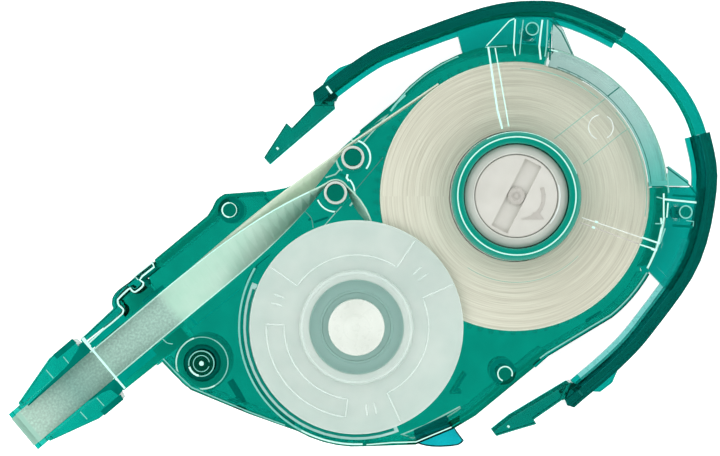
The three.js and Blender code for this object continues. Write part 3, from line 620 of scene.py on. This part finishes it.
def tension_knob():
    """Slotted knob: a bar-shaped recess across it, a centre pip and a curved arrow."""
    knob = bmesh.new()
    add_lathe(knob, [
        (0, 9.4), (5.7, 9.4), (5.75, 9.45), (5.75, 11.3), (5.65, 11.55), (5.45, KNOB_TOP), (0, KNOB_TOP),
    ], SUPPLY)
    piece = finish_piece("slotted_knob", knob, PALE_GREY, "supply_reel",
                         ["tension_knob"])

    slot_angle, slot_length, slot_width, slot_floor = 63, 10.3, 2.5, 11.2
    along = Vector(polar(0.5 * slot_length, slot_angle))
    across = Vector(polar(0.5 * slot_width, slot_angle + 90))
    corners = [along * a + across * b for a, b in ((-1, -1), (1, -1), (1, 1), (-1, 1))]
    cutter = bmesh.new()
    add_prism(cutter, corners, slot_floor, KNOB_TOP + 1)
    cut(piece, cutter, "slot")

    marks = bmesh.new()
    add_lathe(marks, [
        (0, 11.1), (1.25, 11.1), (1.2, 11.5), (1.0, 11.72), (0.75, 11.72), (0.6, 11.6), (0, 11.6),
    ], SUPPLY, 48)
    add_lathe(marks, [(0, 11.55), (0.35, 11.55), (0.3, 11.72), (0, 11.78)], SUPPLY, 32)
    stem = smooth([(3.5, 1.15), (3.72, 0.2), (3.66, -0.9), (3.25, -1.9), (2.75, -2.5)], 16)
    add_bead(marks, stem, 0.6, 11.6, 0.16)
    head = [(0.7, -3.2), (1.9, -2.85), (2.35, -2.3), (3.1, -2.2), (3.3, -2.6), (3.8, -3.2)]
    add_prism(marks, head, 11.6, 11.74)
    finish_piece("knob_marks", marks, KNOB_MARKS, "supply_reel")


supply_reel()
tension_knob()


# ---------------------------------------------------------------- clear front cover
TOP_LUG = [(-4.15, 20.6), (-0.2, 24.8), (5.0, 24.6), (5.0, 20.4), (0.0, 21.0)]
TOP_CORNER = [*arc(21.0, 67.5, 76.1), (5.05, 24.6), (5.2, 24.6), (6.6, 22.9)]
RIGHT_CORNER = [(20.98, 1.4), (23.8, 1.4), (23.8, 2.1), (20.98, 4.2)]
RIGHT_LUG = [
    (20.98, 1.35), (24.5, 1.35), (25.3, 0.4), (24.9, -4.4), (23.7, -6.1), (20.9, -11.2), (19.6, -9.9),
    (20.8, -3.0),
]


def front_cover():
    """Sheet, deep rim, collar, two lugs and two ribs, as one moulding fixed to the case."""
    sheet = bmesh.new()
    add_prism(sheet, [*arc(18.3, -20, 101), *arc(8.95, 101, -20)], 10.4, COVER_TOP)
    add_prism(sheet, [*arc(20.95, 76.2, 101), *arc(18.32, 101, 76.2)], 10.4, COVER_TOP)
    add_prism(sheet, [*arc(20.95, -20, 3.8), *arc(18.32, 3.8, -20)], 10.4, COVER_TOP)
    finish_piece("cover_sheet", sheet, COVER_FILM, "case", ["front_cover"])

    lugs = bmesh.new()
    add_prism(lugs, TOP_LUG, 10.4, COVER_TOP - 0.03)
    add_prism(lugs, RIGHT_LUG, 10.4, COVER_TOP - 0.03)
    piece = finish_piece("cover_lugs", lugs, COVER_FILM, "case")
    holes = bmesh.new()
    for centre in COVER_PINS:
        add_lathe(holes, [(0, 10), (1.2, 10), (1.2, 12), (0, 12)], centre, 48)
    cut(piece, holes, "pin holes")

    rim = bmesh.new()
    add_prism(rim, [*arc(20.98, 4, 76), *arc(18.35, 76, 4)], 10.4, COVER_TOP + 0.02)
    add_prism(rim, TOP_CORNER, 10.4, COVER_TOP + 0.02)
    add_prism(rim, RIGHT_CORNER, 10.4, COVER_TOP + 0.02)
    finish_piece("cover_rim", rim, RIM_FILM, "case")

    skirt = bmesh.new()
    add_prism(skirt, [*arc(20.98, 6, 72), *arc(20.6, 72, 6)], 4.0, 10.38)
    finish_piece("cover_skirt", skirt, COVER_FILM, "case")

    collar = bmesh.new()
    add_lathe(collar, [
        (7.25, 9.35), (8.9, 9.35), (8.9, 11.9), (8.75, 12.2), (8.3, COLLAR_TOP), (7.6, COLLAR_TOP),
        (7.3, 12.3), (7.25, 12.1),
    ], SUPPLY, 160)
    finish_piece("cover_collar", collar, COLLAR_GREEN, "case")

    ribs = bmesh.new()
    add_prism(ribs, [(-3.8, 20.6), (-1.8, 9.3), (-0.75, 9.3), (-2.5, 20.6)], COVER_TOP, RIB_TOP - 0.05)
    add_prism(ribs, [(9.2, -2.8), (20.2, -6.6), (19.6, -7.5), (8.9, -3.7)], COVER_TOP, RIB_TOP - 0.05)
    finish_piece("cover_ribs", ribs, COVER_FILM, "case")


def cover_lines():
    """Painted highlights and painted shade along the cover's ribs, rims and creases, and its fine lines."""
    top, sheet = RIB_TOP - 0.05, COVER_TOP
    draw("cover_painted_glints", GLINT, [
        ([(-3.87, 20.46), (-2.63, 11.84), (-1.94, 9.22)], 0.26, top),
        ([(-2.93, 20.36), (-1.44, 11.84), (-1.05, 9.57)], 0.16, top),
        ([(-0.1, 24.38), (-0.32, 20.51), (-0.1, 19.32)], 0.18, sheet),
        ([(3.64, 24.28), (3.41, 22.54), (3.21, 20.61), (3.41, 18.82)], 0.24, sheet),
        ([(4.6, 20.21), (5.79, 19.91)], 0.2, COVER_TOP),
        ([(20.37, 0.36), (20.37, -2.96)], 0.22, sheet),
        ([(20.97, -0.93), (20.8, -2.96)], 0.18, sheet),
        ([(20.48, -0.45), (24.85, -0.89)], 0.26, sheet),
        ([(19.98, -3.01), (20.08, -3.85)], 0.24, sheet),
        ([(20.06, -4.35), (19.63, -6.38)], 0.22, sheet),
        ([(17.23, -5.69), (19.7, -6.53)], 0.24, top),
        ([(16.93, -6.66), (19.21, -7.39)], 0.2, top),
        ([(18.52, -7.27), (19.31, -7.47)], 0.3, top),
        ([(10.79, -3.51), (11.19, -3.63)], 0.3, top),
        ([(10.39, -4.25), (10.79, -4.4)], 0.3, top),
        (arc(8.1, 0, 360), 0.2, COLLAR_TOP - 0.02),
        (arc(8.78, 20, 118), 0.12, 12.14),
        ([(-4.06, 20.71), (-0.93, 24.13), (-0.21, 24.48)], 0.14, COVER_TOP),
    ])
    draw("cover_painted_mint_lines", MINT, [
        ([(1.02, 24.28), (0.64, 21.2), (0.49, 19.52)], 0.16, sheet),
        ([(4.38, 24.28), (4.23, 21.01), (4.0, 19.22)], 0.18, sheet),
        (arc(0.85, 0, 360, COVER_PINS[0], 12), 0.18, 11.48),
        (arc(0.85, 0, 360, COVER_PINS[1], 12), 0.18, 11.48),
        ([(20.86, 3.14), (21.04, 0.46)], 0.2, sheet),
        ([(19.39, -0.13), (20.38, -0.38)], 0.16, sheet),
        ([(23.46, -3.36), (24.5, -3.51), (24.4, -4.2)], 0.14, sheet),
        ([(19.19, -3.8), (20.28, -3.8)], 0.16, sheet),
        ([(20.55, -4.45), (19.87, -6.48)], 0.2, sheet),
        ([(-4.23, 20.51), (-1.26, 20.66)], 0.14, sheet),
    ])
    draw("cover_painted_shade_lines", SHADE, [
        ([(4.75, 24.28), (6.24, 22.64), (7.78, 19.52)], 0.18, COVER_TOP + 0.02),
        ([(4.8, 22.39), (4.65, 18.72)], 0.26, COVER_TOP),
        ([(1.33, 21.15), (2.81, 21.15)], 0.36, COVER_TOP),
        ([(20.73, 3.99), (23.65, 1.8), (24.8, 0.36)], 0.2, COVER_TOP),
        ([(21.57, 0.12), (24.75, -0.08)], 0.3, COVER_TOP),
        ([(21.57, -4.05), (24.35, -4.25)], 0.34, COVER_TOP),
        ([(21.67, -1.42), (21.67, -2.91)], 0.36, COVER_TOP),
        ([(12.64, 13.76), (14.23, 15)], 0.16, COVER_TOP + 0.02),
        (arc(18.7, 5, 72), 0.1, COVER_TOP),
    ])
    draw("cover_fine_lines", FINE_GREEN, [
        (arc(11.9, -124, -44), 0.07, COVER_TOP),
        ([(5.29, 7.91), (10.36, 11.88), (12.34, 13.46)], 0.12, COVER_TOP),
        ([(9.26, 4.43), (14.72, 8.8), (16.31, 9.79)], 0.1, COVER_TOP),
        (arc(17.6, 50, 88), 0.12, COVER_TOP),
        (arc(18.0, -9, 40), 0.12, COVER_TOP),
        (arc(20.85, 6, 74), 0.14, COVER_TOP + 0.02),
    ])
    draw("cover_painted_highlights", BEAD, [
        (arc(1.7, 100, 250, (11.7, 9.5), 10), 0.12, COVER_TOP),
        (arc(1.7, -60, 60, (11.7, 9.5), 10), 0.12, COVER_TOP),
        ([(8.97, -2.96), (17.23, -5.74)], 0.1, top),
        (arc(18.3, 6, 60), 0.12, COVER_TOP),
    ])
    # a tan line of painted shade beside the rib where it crosses the roll, in the knob marks' colour
    draw("cover_rib_painted_shade", KNOB_MARKS, [([(8.81, -3.67), (16.83, -6.58)], 0.14, top)])


front_cover()
cover_lines()


# ---------------------------------------------------------------- take-up reel
def takeup_flange():
    flange = bmesh.new()
    add_lathe(flange, [
        (3.4, 8.6), (6.9, 8.6), (6.9, 9.4), (14.7, 9.4), (FLANGE_RADIUS, 9.5), (FLANGE_RADIUS, 9.9),
        (14.7, FLANGE_TOP), (7.95, FLANGE_TOP), (7.8, 10.3), (7.6, 10.4), (7.3, 10.4), (7.1, 10.3),
        (6.6, 9.9), (6.45, 8.95), (6.3, 8.9), (5.1, 8.9), (5.0, 9.05), (4.8, 9.05), (4.7, 8.9), (3.4, 8.9),
    ], TAKEUP, 160)
    finish_piece("milky_flange", flange, FLANGE_MILKY, "takeup_reel",
                 ["takeup_flange"])

    beads = bmesh.new()
    crest = dict(width=0.28, bottom=FLANGE_TOP - 0.03, height=0.13)

    def panel(inner, outer, start, end):
        line = [*arc(outer, start, end, TAKEUP), *arc(inner, end, start, TAKEUP)]
        add_bead(beads, line, closed=True, **crest)

    def open_panel(inner, start, end):
        line = [polar(FLANGE_RADIUS - 0.3, start, TAKEUP), *arc(inner, start, end, TAKEUP),
                polar(FLANGE_RADIUS - 0.3, end, TAKEUP)]
        add_bead(beads, line, **crest)

    panel(10.0, 12.5, 178, 263)
    open_panel(10.0, 24, -65)
    open_panel(10.0, 145, 56)
    for angle in (161, 40, -80):
        radial = [polar(r, angle + side, TAKEUP) for side in (-3, 3) for r in (10.7, 12.3)]
        add_bead(beads, radial[:2], **crest)
        add_bead(beads, radial[2:], **crest)
    edge = arc(FLANGE_RADIUS - 0.08, 0, 357.5, TAKEUP)
    add_bead(beads, edge, 0.16, FLANGE_TOP - 0.08, 0.1, closed=True)
    add_bead(beads, arc(7.55, 0, 357.5, TAKEUP), 0.3, 10.38, 0.06, closed=True)
    finish_piece("flange_beads", beads, FLANGE_BEAD, "takeup_reel")

    cap = bmesh.new()
    add_lathe(cap, [
        (0, 9.2), (3.8, 9.2), (3.9, 9.3), (3.9, 10.6), (3.8, 10.8), (3.6, 10.9), (2.0, 10.9), (1.9, 10.85),
        (1.75, 10.85), (1.65, 10.9), (0.6, 10.9), (0.5, 10.85), (0.3, 10.87), (0, 10.9),
    ], TAKEUP, 96)
    finish_piece("hub_cap", cap, WHITE, "takeup_reel", ["takeup_hub_cap"])


takeup_flange()


# ---------------------------------------------------------------- painted highlights and painted shade on the case, and its fine trim
def guard_painted_glints():
    """Painted highlights along the guards and guide pins by the rollers, and pale painted lines near them.
    """
    bend = [(-25.28, 5.97), (-24.97, 5.81), (-24.79, 4.93), (-24.37, 3.99), (-24.02, 3.8)]
    draw("guard_painted_glints", GLINT, [
        ([(-22.52, 8.47), (-22.73, 8.1), (-22.13, 7.68), (-21.76, 7.98)], 0.22, UNDER_TAPE),
        (arc(2.43, 72, -40, UPPER_ROLLER, 8), 0.26, WALL_TOP),
        (smooth(bend, 10), 0.26, UNDER_TAPE),
        ([(-24.37, 3.86), (-24.96, 3.22), (-26.37, 2.75)], 0.2, UNDER_TAPE),
        ([(-23.2, 3.05), (-23.35, 2.6), (-23.05, 2.15)], 0.3, WALL_TOP),
        (arc(2.65, 42, 5, LOWER_ROLLER, 8), 0.24, WALL_TOP),
        (arc(2.65, 5, -42, LOWER_ROLLER, 8), 0.24, UNDER_TAPE),
        (arc(2.65, 202, 268, LOWER_ROLLER, 8), 0.22, WALL_TOP),
        ([(-27.58, 1.17), (-27.89, 0.03)], 0.22, PLATE_TOP),
        ([(-21.19, 7.55), (-17.16, 12.2)], 0.18, UNDER_TAPE),
        ([(-22.5, 0.5), (-25.11, -2.35), (-27.07, -4.61)], 0.14, PLATE_TOP),
    ])
    draw("guard_painted_mint_lines", MINT, [
        ([(-22.12, 1.06), (-18.2, 5.7)], 0.12, PLATE_TOP),
        (smooth([(-29.54, -1.87), (-28.51, -2.96), (-28.2, -4.4)], 8), 0.12, PLATE_TOP),
        ([(-17.25, 11.85), (-16.4, 12.95), (-15.2, 14.1)], 0.3, WALL_TOP),
    ])


def boss_painted_glints():
    """Painted highlight rings, a painted highlight on the pip, and rings of painted shade round the big
    neck boss and the two small bosses.
    """
    draw("boss_painted_glints", GLINT, [
        (arc(3.62, 108, 300, NECK_BOSS, 6), 0.2, 8.2),
        (arc(1.72, 195, 258, NECK_BOSS, 8), 0.28, 9.4),
        (arc(1.0, 90, 270, SMALL_BOSSES[0], 12), 0.2, 9.6),
        (arc(1.0, 270, 450, SMALL_BOSSES[0], 12), 0.1, 9.6),
        (arc(1.0, -20, 250, SMALL_BOSSES[1], 12), 0.18, 9.6),
    ])
    draw("boss_painted_mint_rings", MINT, [
        (arc(3.6, -60, 62, NECK_BOSS, 6), 0.18, 8.2),
        (arc(3.6, 62, 108, NECK_BOSS, 6), 0.12, 8.2),
        (arc(1.75, -100, 190, NECK_BOSS, 8), 0.16, 9.4),
        (arc(1.12, 10, 340, NECK_BOSS, 8), 0.12, 9.4),
    ])
    pip = bmesh.new()
    add_lathe(pip, [(0, 9.2), (0.34, 9.2), (0.3, 9.34), (0.18, 9.4), (0, 9.42)], NECK_BOSS, 32)
    finish_piece("stud_pip_painted_glint", pip, GLINT, "case")
    # painted shade: dark rings in the gaps round the bosses
    halos = bmesh.new()
    add_lathe(halos, [(1.98, 1.3), (2.52, 1.3), (2.52, 7.9), (1.98, 7.9)], NECK_BOSS, 64)
    finish_piece("boss_painted_shade_ring", halos, SHADE, "case")
    rings = bmesh.new()
    for centre in SMALL_BOSSES:
        add_lathe(rings, [(1.22, 5.0), (1.8, 5.0), (1.75, 5.12), (1.22, 5.12)], centre, 48)
    finish_piece("small_boss_halos", rings, LOW_SHADE, "case")


def pocket_lines():
    """Painted highlights along the edges of the take-up reel's pocket and of the case's right wall, and the
    rail, corner patch and ledge there.
    """
    draw("pocket_painted_glints", GLINT, [
        (arc(16.3, 242, 273, TAKEUP), 0.24, WALL_TOP),
        ([(-20.37, -35.12), (-17.58, -34.81), (-12.22, -32.65), (-7.17, -29.97)], 0.2, PLATE_TOP),
        ([(-20.6, -34.5), (-17.0, -34.2), (-13.7, -34.1), (-8.8, -32.05)], 0.16, WALL_TOP),
        (arc(20.95, -8, -28.5), 0.3, WALL_TOP),
    ])
    rail = [*arc(21.35, -30, -51), (4.55, -21.95), (2.7, -23.6)]
    draw("right_wall_rail", RAIL_GREEN, [(rail, 0.6, WALL_TOP - 0.2)])
    corner = bmesh.new()
    outline = [(17.4, -9.75), (18.35, -9.5), (18.65, -10.6), (17.7, -10.9)]
    add_prism(corner, outline, WALL_TOP, WALL_TOP + 0.03)
    finish_piece("ring_corner", corner, RAIL_GREEN, "case")
    ledge = bmesh.new()
    add_prism(ledge, [*arc(15.74, 157, 292, TAKEUP), *arc(14.95, 292, 157, TAKEUP)], 8.3, 8.5)
    finish_piece("pocket_ledge", ledge, POCKET_LEDGE, "case")
    pocket_foot = [(-48.85, -22.55), (-46.95, -24.6), (-44.9, -26.55), (-37.0, -29.9), (-31.9, -31.8)]
    draw("pocket_painted_mint_lines", MINT, [
        (arc(16.3, 150, 242, TAKEUP), 0.28, WALL_TOP),
        (arc(15.05, 159, 289, TAKEUP), 0.12, 8.48),
        (pocket_foot, 0.16, WALL_TOP),
        ([*arc(21.18, -30, -51), (4.4, -21.8), (3.5, -22.5)], 0.2, WALL_TOP + 0.03),
        (arc(19.2, 78, 104), 0.14, PLATE_TOP),
        (arc(20.95, 141, 112), 0.16, WALL_TOP),
        (smooth([(-49.0, -19.7), (-48.3, -20.35), (-47.5, -20.5)], 8), 0.12, WALL_TOP),
    ])


def dark_marks():
    """Painted shade where creases look dark through the case, and faint lines low down in it that glow with
    painted light.
    """
    draw("case_painted_shade", SHADE, [
        ([(-51.6, -14.7), (-48.8, -12.5)], 0.5, WALL_TOP),
        ([(18.7, 1.3), (20.5, 1.33)], 0.18, COVER_TOP),
    ])
    draw("low_painted_shade", LOW_SHADE, [
        ([(-6.6, -24.9), (-8.25, -27.55), (-7.25, -27.6)], 0.34, 5.0),
        ([(-9.08, -31.41), (-8.35, -32.55)], 0.26, PLATE_TOP),
        ([(10.77, -17.65), (13.04, -16.26)], 0.2, PLATE_TOP),
        ([(-35.0, -0.05), (-34.2, -0.85)], 0.3, 3.5),
        (smooth([(-34.39, -8.21), (-36.86, -10.38), (-37.89, -12.44)], 8), 0.16, PLATE_TOP),
        ([(-36.91, -10.28), (-36.76, -10.64)], 0.4, PLATE_TOP),
        ([(-28.82, -3.06), (-28.61, -3.32)], 0.4, PLATE_TOP),
        ([(-28.1, -3.58), (-26.04, -2.85)], 0.3, PLATE_TOP),
        (smooth([(-40.1, -26.2), (-38.82, -28.32), (-37.9, -30.2)], 8), 1.0, PLATE_TOP),
        ([(21.6, 1.35), (23.8, 1.37)], 0.18, WEB_TOP),
    ])
    draw("low_lines", LOW_LINE, [
        ([(-45.63, -18.83), (-38.82, -13.27)], 0.12, PLATE_TOP),
        ([(-46.3, -16.6), (-44.9, -18.2)], 0.4, PLATE_TOP),
    ])


def neck_lines():
    """Painted highlights on the strap over the tape, the catch's edge and the ridges on the nose wings, and
    painted shade in the wings' creases.
    """
    catch = [(-61.0, -21.4), (-57.2, -18.55), (-55.95, -17.55)]
    catch += smooth([(-54.5, -16.3), (-54.38, -15.7), (-55.05, -15.05), (-55.15, -14.35)], 8)
    catch += [(-54.7, -13.85), (-53.75, -12.95)]
    notch = [(-53.4, -12.75), (-53.1, -13.15), (-52.65, -13.25), (-51.7, -12.5), (-51.6, -12.0)]
    catch += smooth(notch, 10)
    catch += [(-52.1, -11.6), (-51.75, -11.1), (-50.1, -9.8), (-50.35, -9.2)]
    inside = [point for point in catch if point[0] > -59.6]
    filler = bmesh.new()
    add_bead(filler, inside, 0.8, 3.0, 5.8)
    finish_piece("catch_filler", filler, RAIL_GREEN, "case")
    strap_x = NECK_START + 0.3
    draw("neck_painted_glints", GLINT, [
        ([(-59.45, -20.65), *inside], 0.24, WALL_TOP),
        ([(-50.35, -9.2), (-52.8, -11.1), (-52.3, -11.6)], 0.14, WALL_TOP),
        ([in_neck(strap_x, 4.6), in_neck(strap_x, 3.0)], 0.5, WALL_TOP),
        ([in_neck(strap_x, 3.2), in_neck(strap_x, -4.55)], 0.3, WALL_TOP),
    ])
    draw("wing_ridge_painted_highlights", MINT, [
        ([(-65.1, -24.1), (-64.1, -25.25)], 0.14, WALL_TOP),
        ([(-62.7, -22.3), (-61.95, -23.2)], 0.14, WALL_TOP),
        ([(-60.34, -29.93), (-59.4, -30.95)], 0.14, WALL_TOP),
        ([(-58.05, -28.0), (-57.05, -29.1)], 0.14, WALL_TOP),
    ])
    creases = bmesh.new()
    for outline in (
        [(2.8, 2.2), (2.8, 2.4), (10.6, 3.05), (13.2, 3.85), (13.7, 4.25), (14.4, 4.2), (14.4, 2.5)],
        [(9.8, -2.55), (9.8, -2.75), (11.8, -2.95), (13.0, -3.4), (13.3, -4.75), (14.4, -4.5),
         (14.4, -2.55)],
        [(10.0, 4.65), (13.55, 4.65), (13.45, 5.48), (10.0, 5.48)],
        [(10.0, -4.75), (13.6, -4.75), (13.5, -5.6), (10.0, -5.6)],
    ):
        add_prism(creases, [in_neck(*point) for point in outline], WALL_TOP, WALL_TOP + 0.04)
    finish_piece("wing_painted_shade", creases, SHADE, "case")
    rails = bmesh.new()
    for side in (1, -1):
        outline = [(14.7, 2.6 * side), (21.0, 2.6 * side), (21.0, 3.75 * side), (14.7, 3.75 * side)]
        add_prism(rails, [in_neck(*point) for point in outline], WALL_TOP, WALL_TOP + 0.03)
    finish_piece("neck_rails", rails, RAIL_GREEN, "case")


def nose_lip():
    """The thin front edge of the nose plate, and the film folded over it."""
    def across_neck(start, end, half_width, bottom, top):
        plate = bmesh.new()
        corners = ((start, -half_width), (end, -half_width), (end, half_width), (start, half_width))
        add_prism(plate, [in_neck(*corner) for corner in corners], bottom, top)
        return plate

    lip = across_neck(-0.6, 0.1, 3.22, 6.35, 6.65)
    finish_piece("nose_lip", lip, ARM_GREEN, "case")
    fold = across_neck(-0.65, 0.6, 2.45, 6.7, 6.85)
    finish_piece("film_fold", fold, FILM, "case")


def tape_edges():
    """Painted highlights on the selvedges of the twisting tape, which follow its centre line and twist up
    the neck.
    """
    half_width = 2.46
    flat_height, roller_height = 7.7, 6.5    # of its centre line at the nose and at the roller
    flat_end = 23.0                          # where it begins to twist, back from the nose
    drift_start = 28.0                       # where it begins to move over to the roller's side
    sink_length = 21.0
    to_axis = Vector(LOWER_ROLLER) - Vector(NOSE)
    turn = math.radians(NECK_ANGLE)
    roller_x = to_axis.x * math.cos(turn) + to_axis.y * math.sin(turn)
    roller_y = to_axis.y * math.cos(turn) - to_axis.x * math.sin(turn) + 1.8

    def share(x, low, high):
        return min(max((x - low) / (high - low), 0), 1)

    selvedge = bmesh.new()
    for side in (1, -1):
        line = []
        for i in range(10, 39):
            x = 0.4 + (roller_x - 0.4) * i / 40
            twist = math.radians(90 * share(x, flat_end, roller_x - 0.5) ** 2)
            y = roller_y * share(x, drift_start, roller_x) ** 1.5 + side * half_width * math.cos(twist)
            sunk = share(x, flat_end, flat_end + sink_length)
            height = flat_height + (roller_height - flat_height) * sunk * sunk * (3 - 2 * sunk)
            line.append((*in_neck(x, y), height + 0.1 + side * half_width * math.sin(twist)))
        add_bead(selvedge, line, 0.16, 0.0, 0.06)
    finish_piece("tape_selvedge_painted_highlight", selvedge, GLINT, "case")


def bow_trim():
    """Skins with the painted light and shade of the bow's inner wall, painted light on its lip, the seams
    of its webs and the glints on its end blocks.
    """
    edge = smooth(BOW_POINTS, BOW_STEPS)
    inner, lip = shifted(edge, BOW_WALL_WIDTH + 0.01), shifted(edge, BOW_WALL_WIDTH + LIP_WIDTH)
    bridge_from, bridge_to = BRIDGE_STEPS
    upper_arm = inner[1:bridge_from + 1]
    bridge = inner[bridge_from:bridge_to + 1]
    lower_arm = inner[bridge_to:PALE_STEP + 1]
    lower_end = inner[PALE_STEP:BOW_STEPS]
    low, high = 3.2, 10.3    # of the skins on the deep arms
    wall = bmesh.new()
    add_ribbon(wall, upper_arm, SKIN, 5.2, high)
    add_ribbon(wall, bridge, SKIN, 4.6, 7.9)
    finish_piece("bow_inner_wall", wall, BOW_WALL, "case")
    shadow = bmesh.new()
    add_ribbon(shadow, lower_arm, SKIN, low, high)
    add_ribbon(shadow, lower_end, SKIN, 6.0, high)
    finish_piece("bow_inner_shadow", shadow, BOW_SHADOW, "case")
    # painted light at the foot of the inner wall
    pale = bmesh.new()
    add_ribbon(pale, upper_arm, SKIN, low, 5.2)
    add_ribbon(pale, lower_end, SKIN, low, 6.0)
    finish_piece("bow_wall_painted_light", pale, BOW_PAINTED_LIGHT, "case")
    # painted light on the lip's top by the lower hook
    strip = bmesh.new()
    strip_line = [*lower_end[:-1], *reversed(lip[PALE_STEP:BOW_STEPS - 1])]
    add_prism(strip, strip_line, 3.12, 3.16)
    finish_piece("bow_lip_painted_light", strip, LIP_PAINTED_LIGHT, "case")
    seams = bmesh.new()
    for start, end in ((-28, 3.8), (76, 109)):
        add_prism(seams, [*arc(21.48, start, end), *arc(21.22, end, start)], 2.5, WEB_TOP)
    finish_piece("web_seams", seams, GREEN, "case")
    bushes = bmesh.new()
    for centre in COVER_PINS:
        add_lathe(bushes, [(0.93, 2.5), (1.18, 2.5), (1.18, WEB_TOP), (0.93, WEB_TOP)], centre, 48)
    finish_piece("pin_bushes", bushes, DEEP_GREEN, "case")
    draw("bow_glints", GLINT, [
        ([(-26.1, 15.15), (-25.4, 14.2)], 0.34, 10.5),
        ([(8.75, -26.9), (9.3, -27.6)], 0.3, 9.5),
    ])


def hook_trim():
    """The hooks' inner walls and glints, and the short necks at their roots, which are not attached to the
    hooks.
    """
    for side, line, thickness, glint in (
        ("upper", [(-34.2, 4.58), (-25.0, 12.48)], SKIN, [(-33.1, 6.8), (-32.85, 6.55)]),
        ("lower", [(-3.0, -32.78), (-0.5, -30.78), (7.6, -25.93)], -SKIN,
         [(-1.0, -31.95), (-0.7, -32.1)]),
    ):
        wall = bmesh.new()
        add_ribbon(wall, line, thickness, 4.55, 8.45)
        finish_piece(side + "_hook_wall", wall, HOOK_WALL, side + "_hook")
        draw(side + "_hook_glint", GLINT, [(glint, 0.3, 8.5)], side + "_hook")
    for side, outline, start, end in (
        ("upper", [(-27.85, 13.14), (-27.85, 12.81), (-25.05, 12.81), (-25.05, 13.14)],
         (-26.4, 13.2), (-26.4, 12.7)),
        ("lower", [(6.62, -28.38), (6.94, -28.28), (7.93, -25.84), (7.58, -25.97)],
         (7.5, -27.1), (7.0, -27.3)),
    ):
        root = bmesh.new()
        add_prism(root, outline, 4.6, 8.4)
        piece = finish_piece(side + "_hook_root", root, HOOK_GREEN, None)
        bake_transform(piece)


def fin_edge():
    """The rounded rim of the locating fin."""
    outline = smooth([(-13.4, -34.75), (-12.2, -35.08), (-10.1, -35.23), (-7.7, -35.0), (-6.98, -34.4)], 20)
    draw("fin_edge", CYAN, [([*outline, (-8.2, -32.7)], 0.2, 4.6)])


guard_painted_glints()
boss_painted_glints()
pocket_lines()
dark_marks()
neck_lines()
nose_lip()
tape_edges()
bow_trim()
hook_trim()
fin_edge()


# ---------------------------------------------------------------- stage
def stage():
    """A plain white floor, lit a little from itself."""
    half = 1500
    floor = bmesh.new()
    add_prism(floor, [(-half, -half), (half, -half), (half, half), (-half, half)], -2.1, -0.1)
    material, tree, shader = new_material("studio_floor", Roughness=0.9, Specular_IOR_Level=0.0)
    shader.inputs["Emission Color"].default_value = (1, 1, 1, 1)
    shader.inputs["Emission Strength"].default_value = 0.75
    shade = ramp(tree, noise(tree, position(tree), 0.02), (0.3, 0.9), (0.7, 0.93))
    tree.links.new(shade, shader.inputs["Base Color"])
    mesh = bpy.data.meshes.new("studio_floor")
    bmesh.ops.recalc_face_normals(floor, faces=floor.faces)
    bmesh.ops.scale(floor, vec=(MM, MM, MM), verts=floor.verts)
    floor.to_mesh(mesh)
    floor.free()
    mesh.materials.append(material)
    ground = bpy.data.objects.new("studio_floor", mesh)
    bpy.context.scene.collection.objects.link(ground)


def studio_light():
    """Soft light from all sides, with a dark patch straight above so that level faces stay clear."""
    world = bpy.data.worlds.new("studio")
    bpy.context.scene.world = world
    world.use_nodes = True
    tree = world.node_tree
    coordinates = node(tree, "ShaderNodeTexCoord")
    height = split(tree, coordinates.outputs["Generated"])[2]
    shade = ramp(tree, height, (0.0, 1.0), (0.72, 1.0), (0.9, 0.12), (1.0, 0.02))
    background = tree.nodes["Background"]
    background.inputs["Strength"].default_value = 1.85
    tree.links.new(shade, background.inputs["Color"])


def camera():
    """Looks straight down on the middle of the cartridge, and sees 100 mm across at the walls' top."""
    middle, height, seen_width = (-21.5, -4.4), 260, 100
    data = bpy.data.cameras.new("camera")
    data.sensor_width = 36
    data.lens = data.sensor_width * (height - WALL_TOP) / seen_width
    viewer = bpy.data.objects.new("camera", data)
    viewer.location = [part * MM for part in (*middle, height)]
    bpy.context.scene.collection.objects.link(viewer)
    bpy.context.scene.camera = viewer


stage()
studio_light()
camera()
scene = bpy.context.scene
scene.view_settings.view_transform = "Standard"
scene.cycles.max_bounces = 24
scene.cycles.transmission_bounces = 24
scene.cycles.transparent_max_bounces = 24
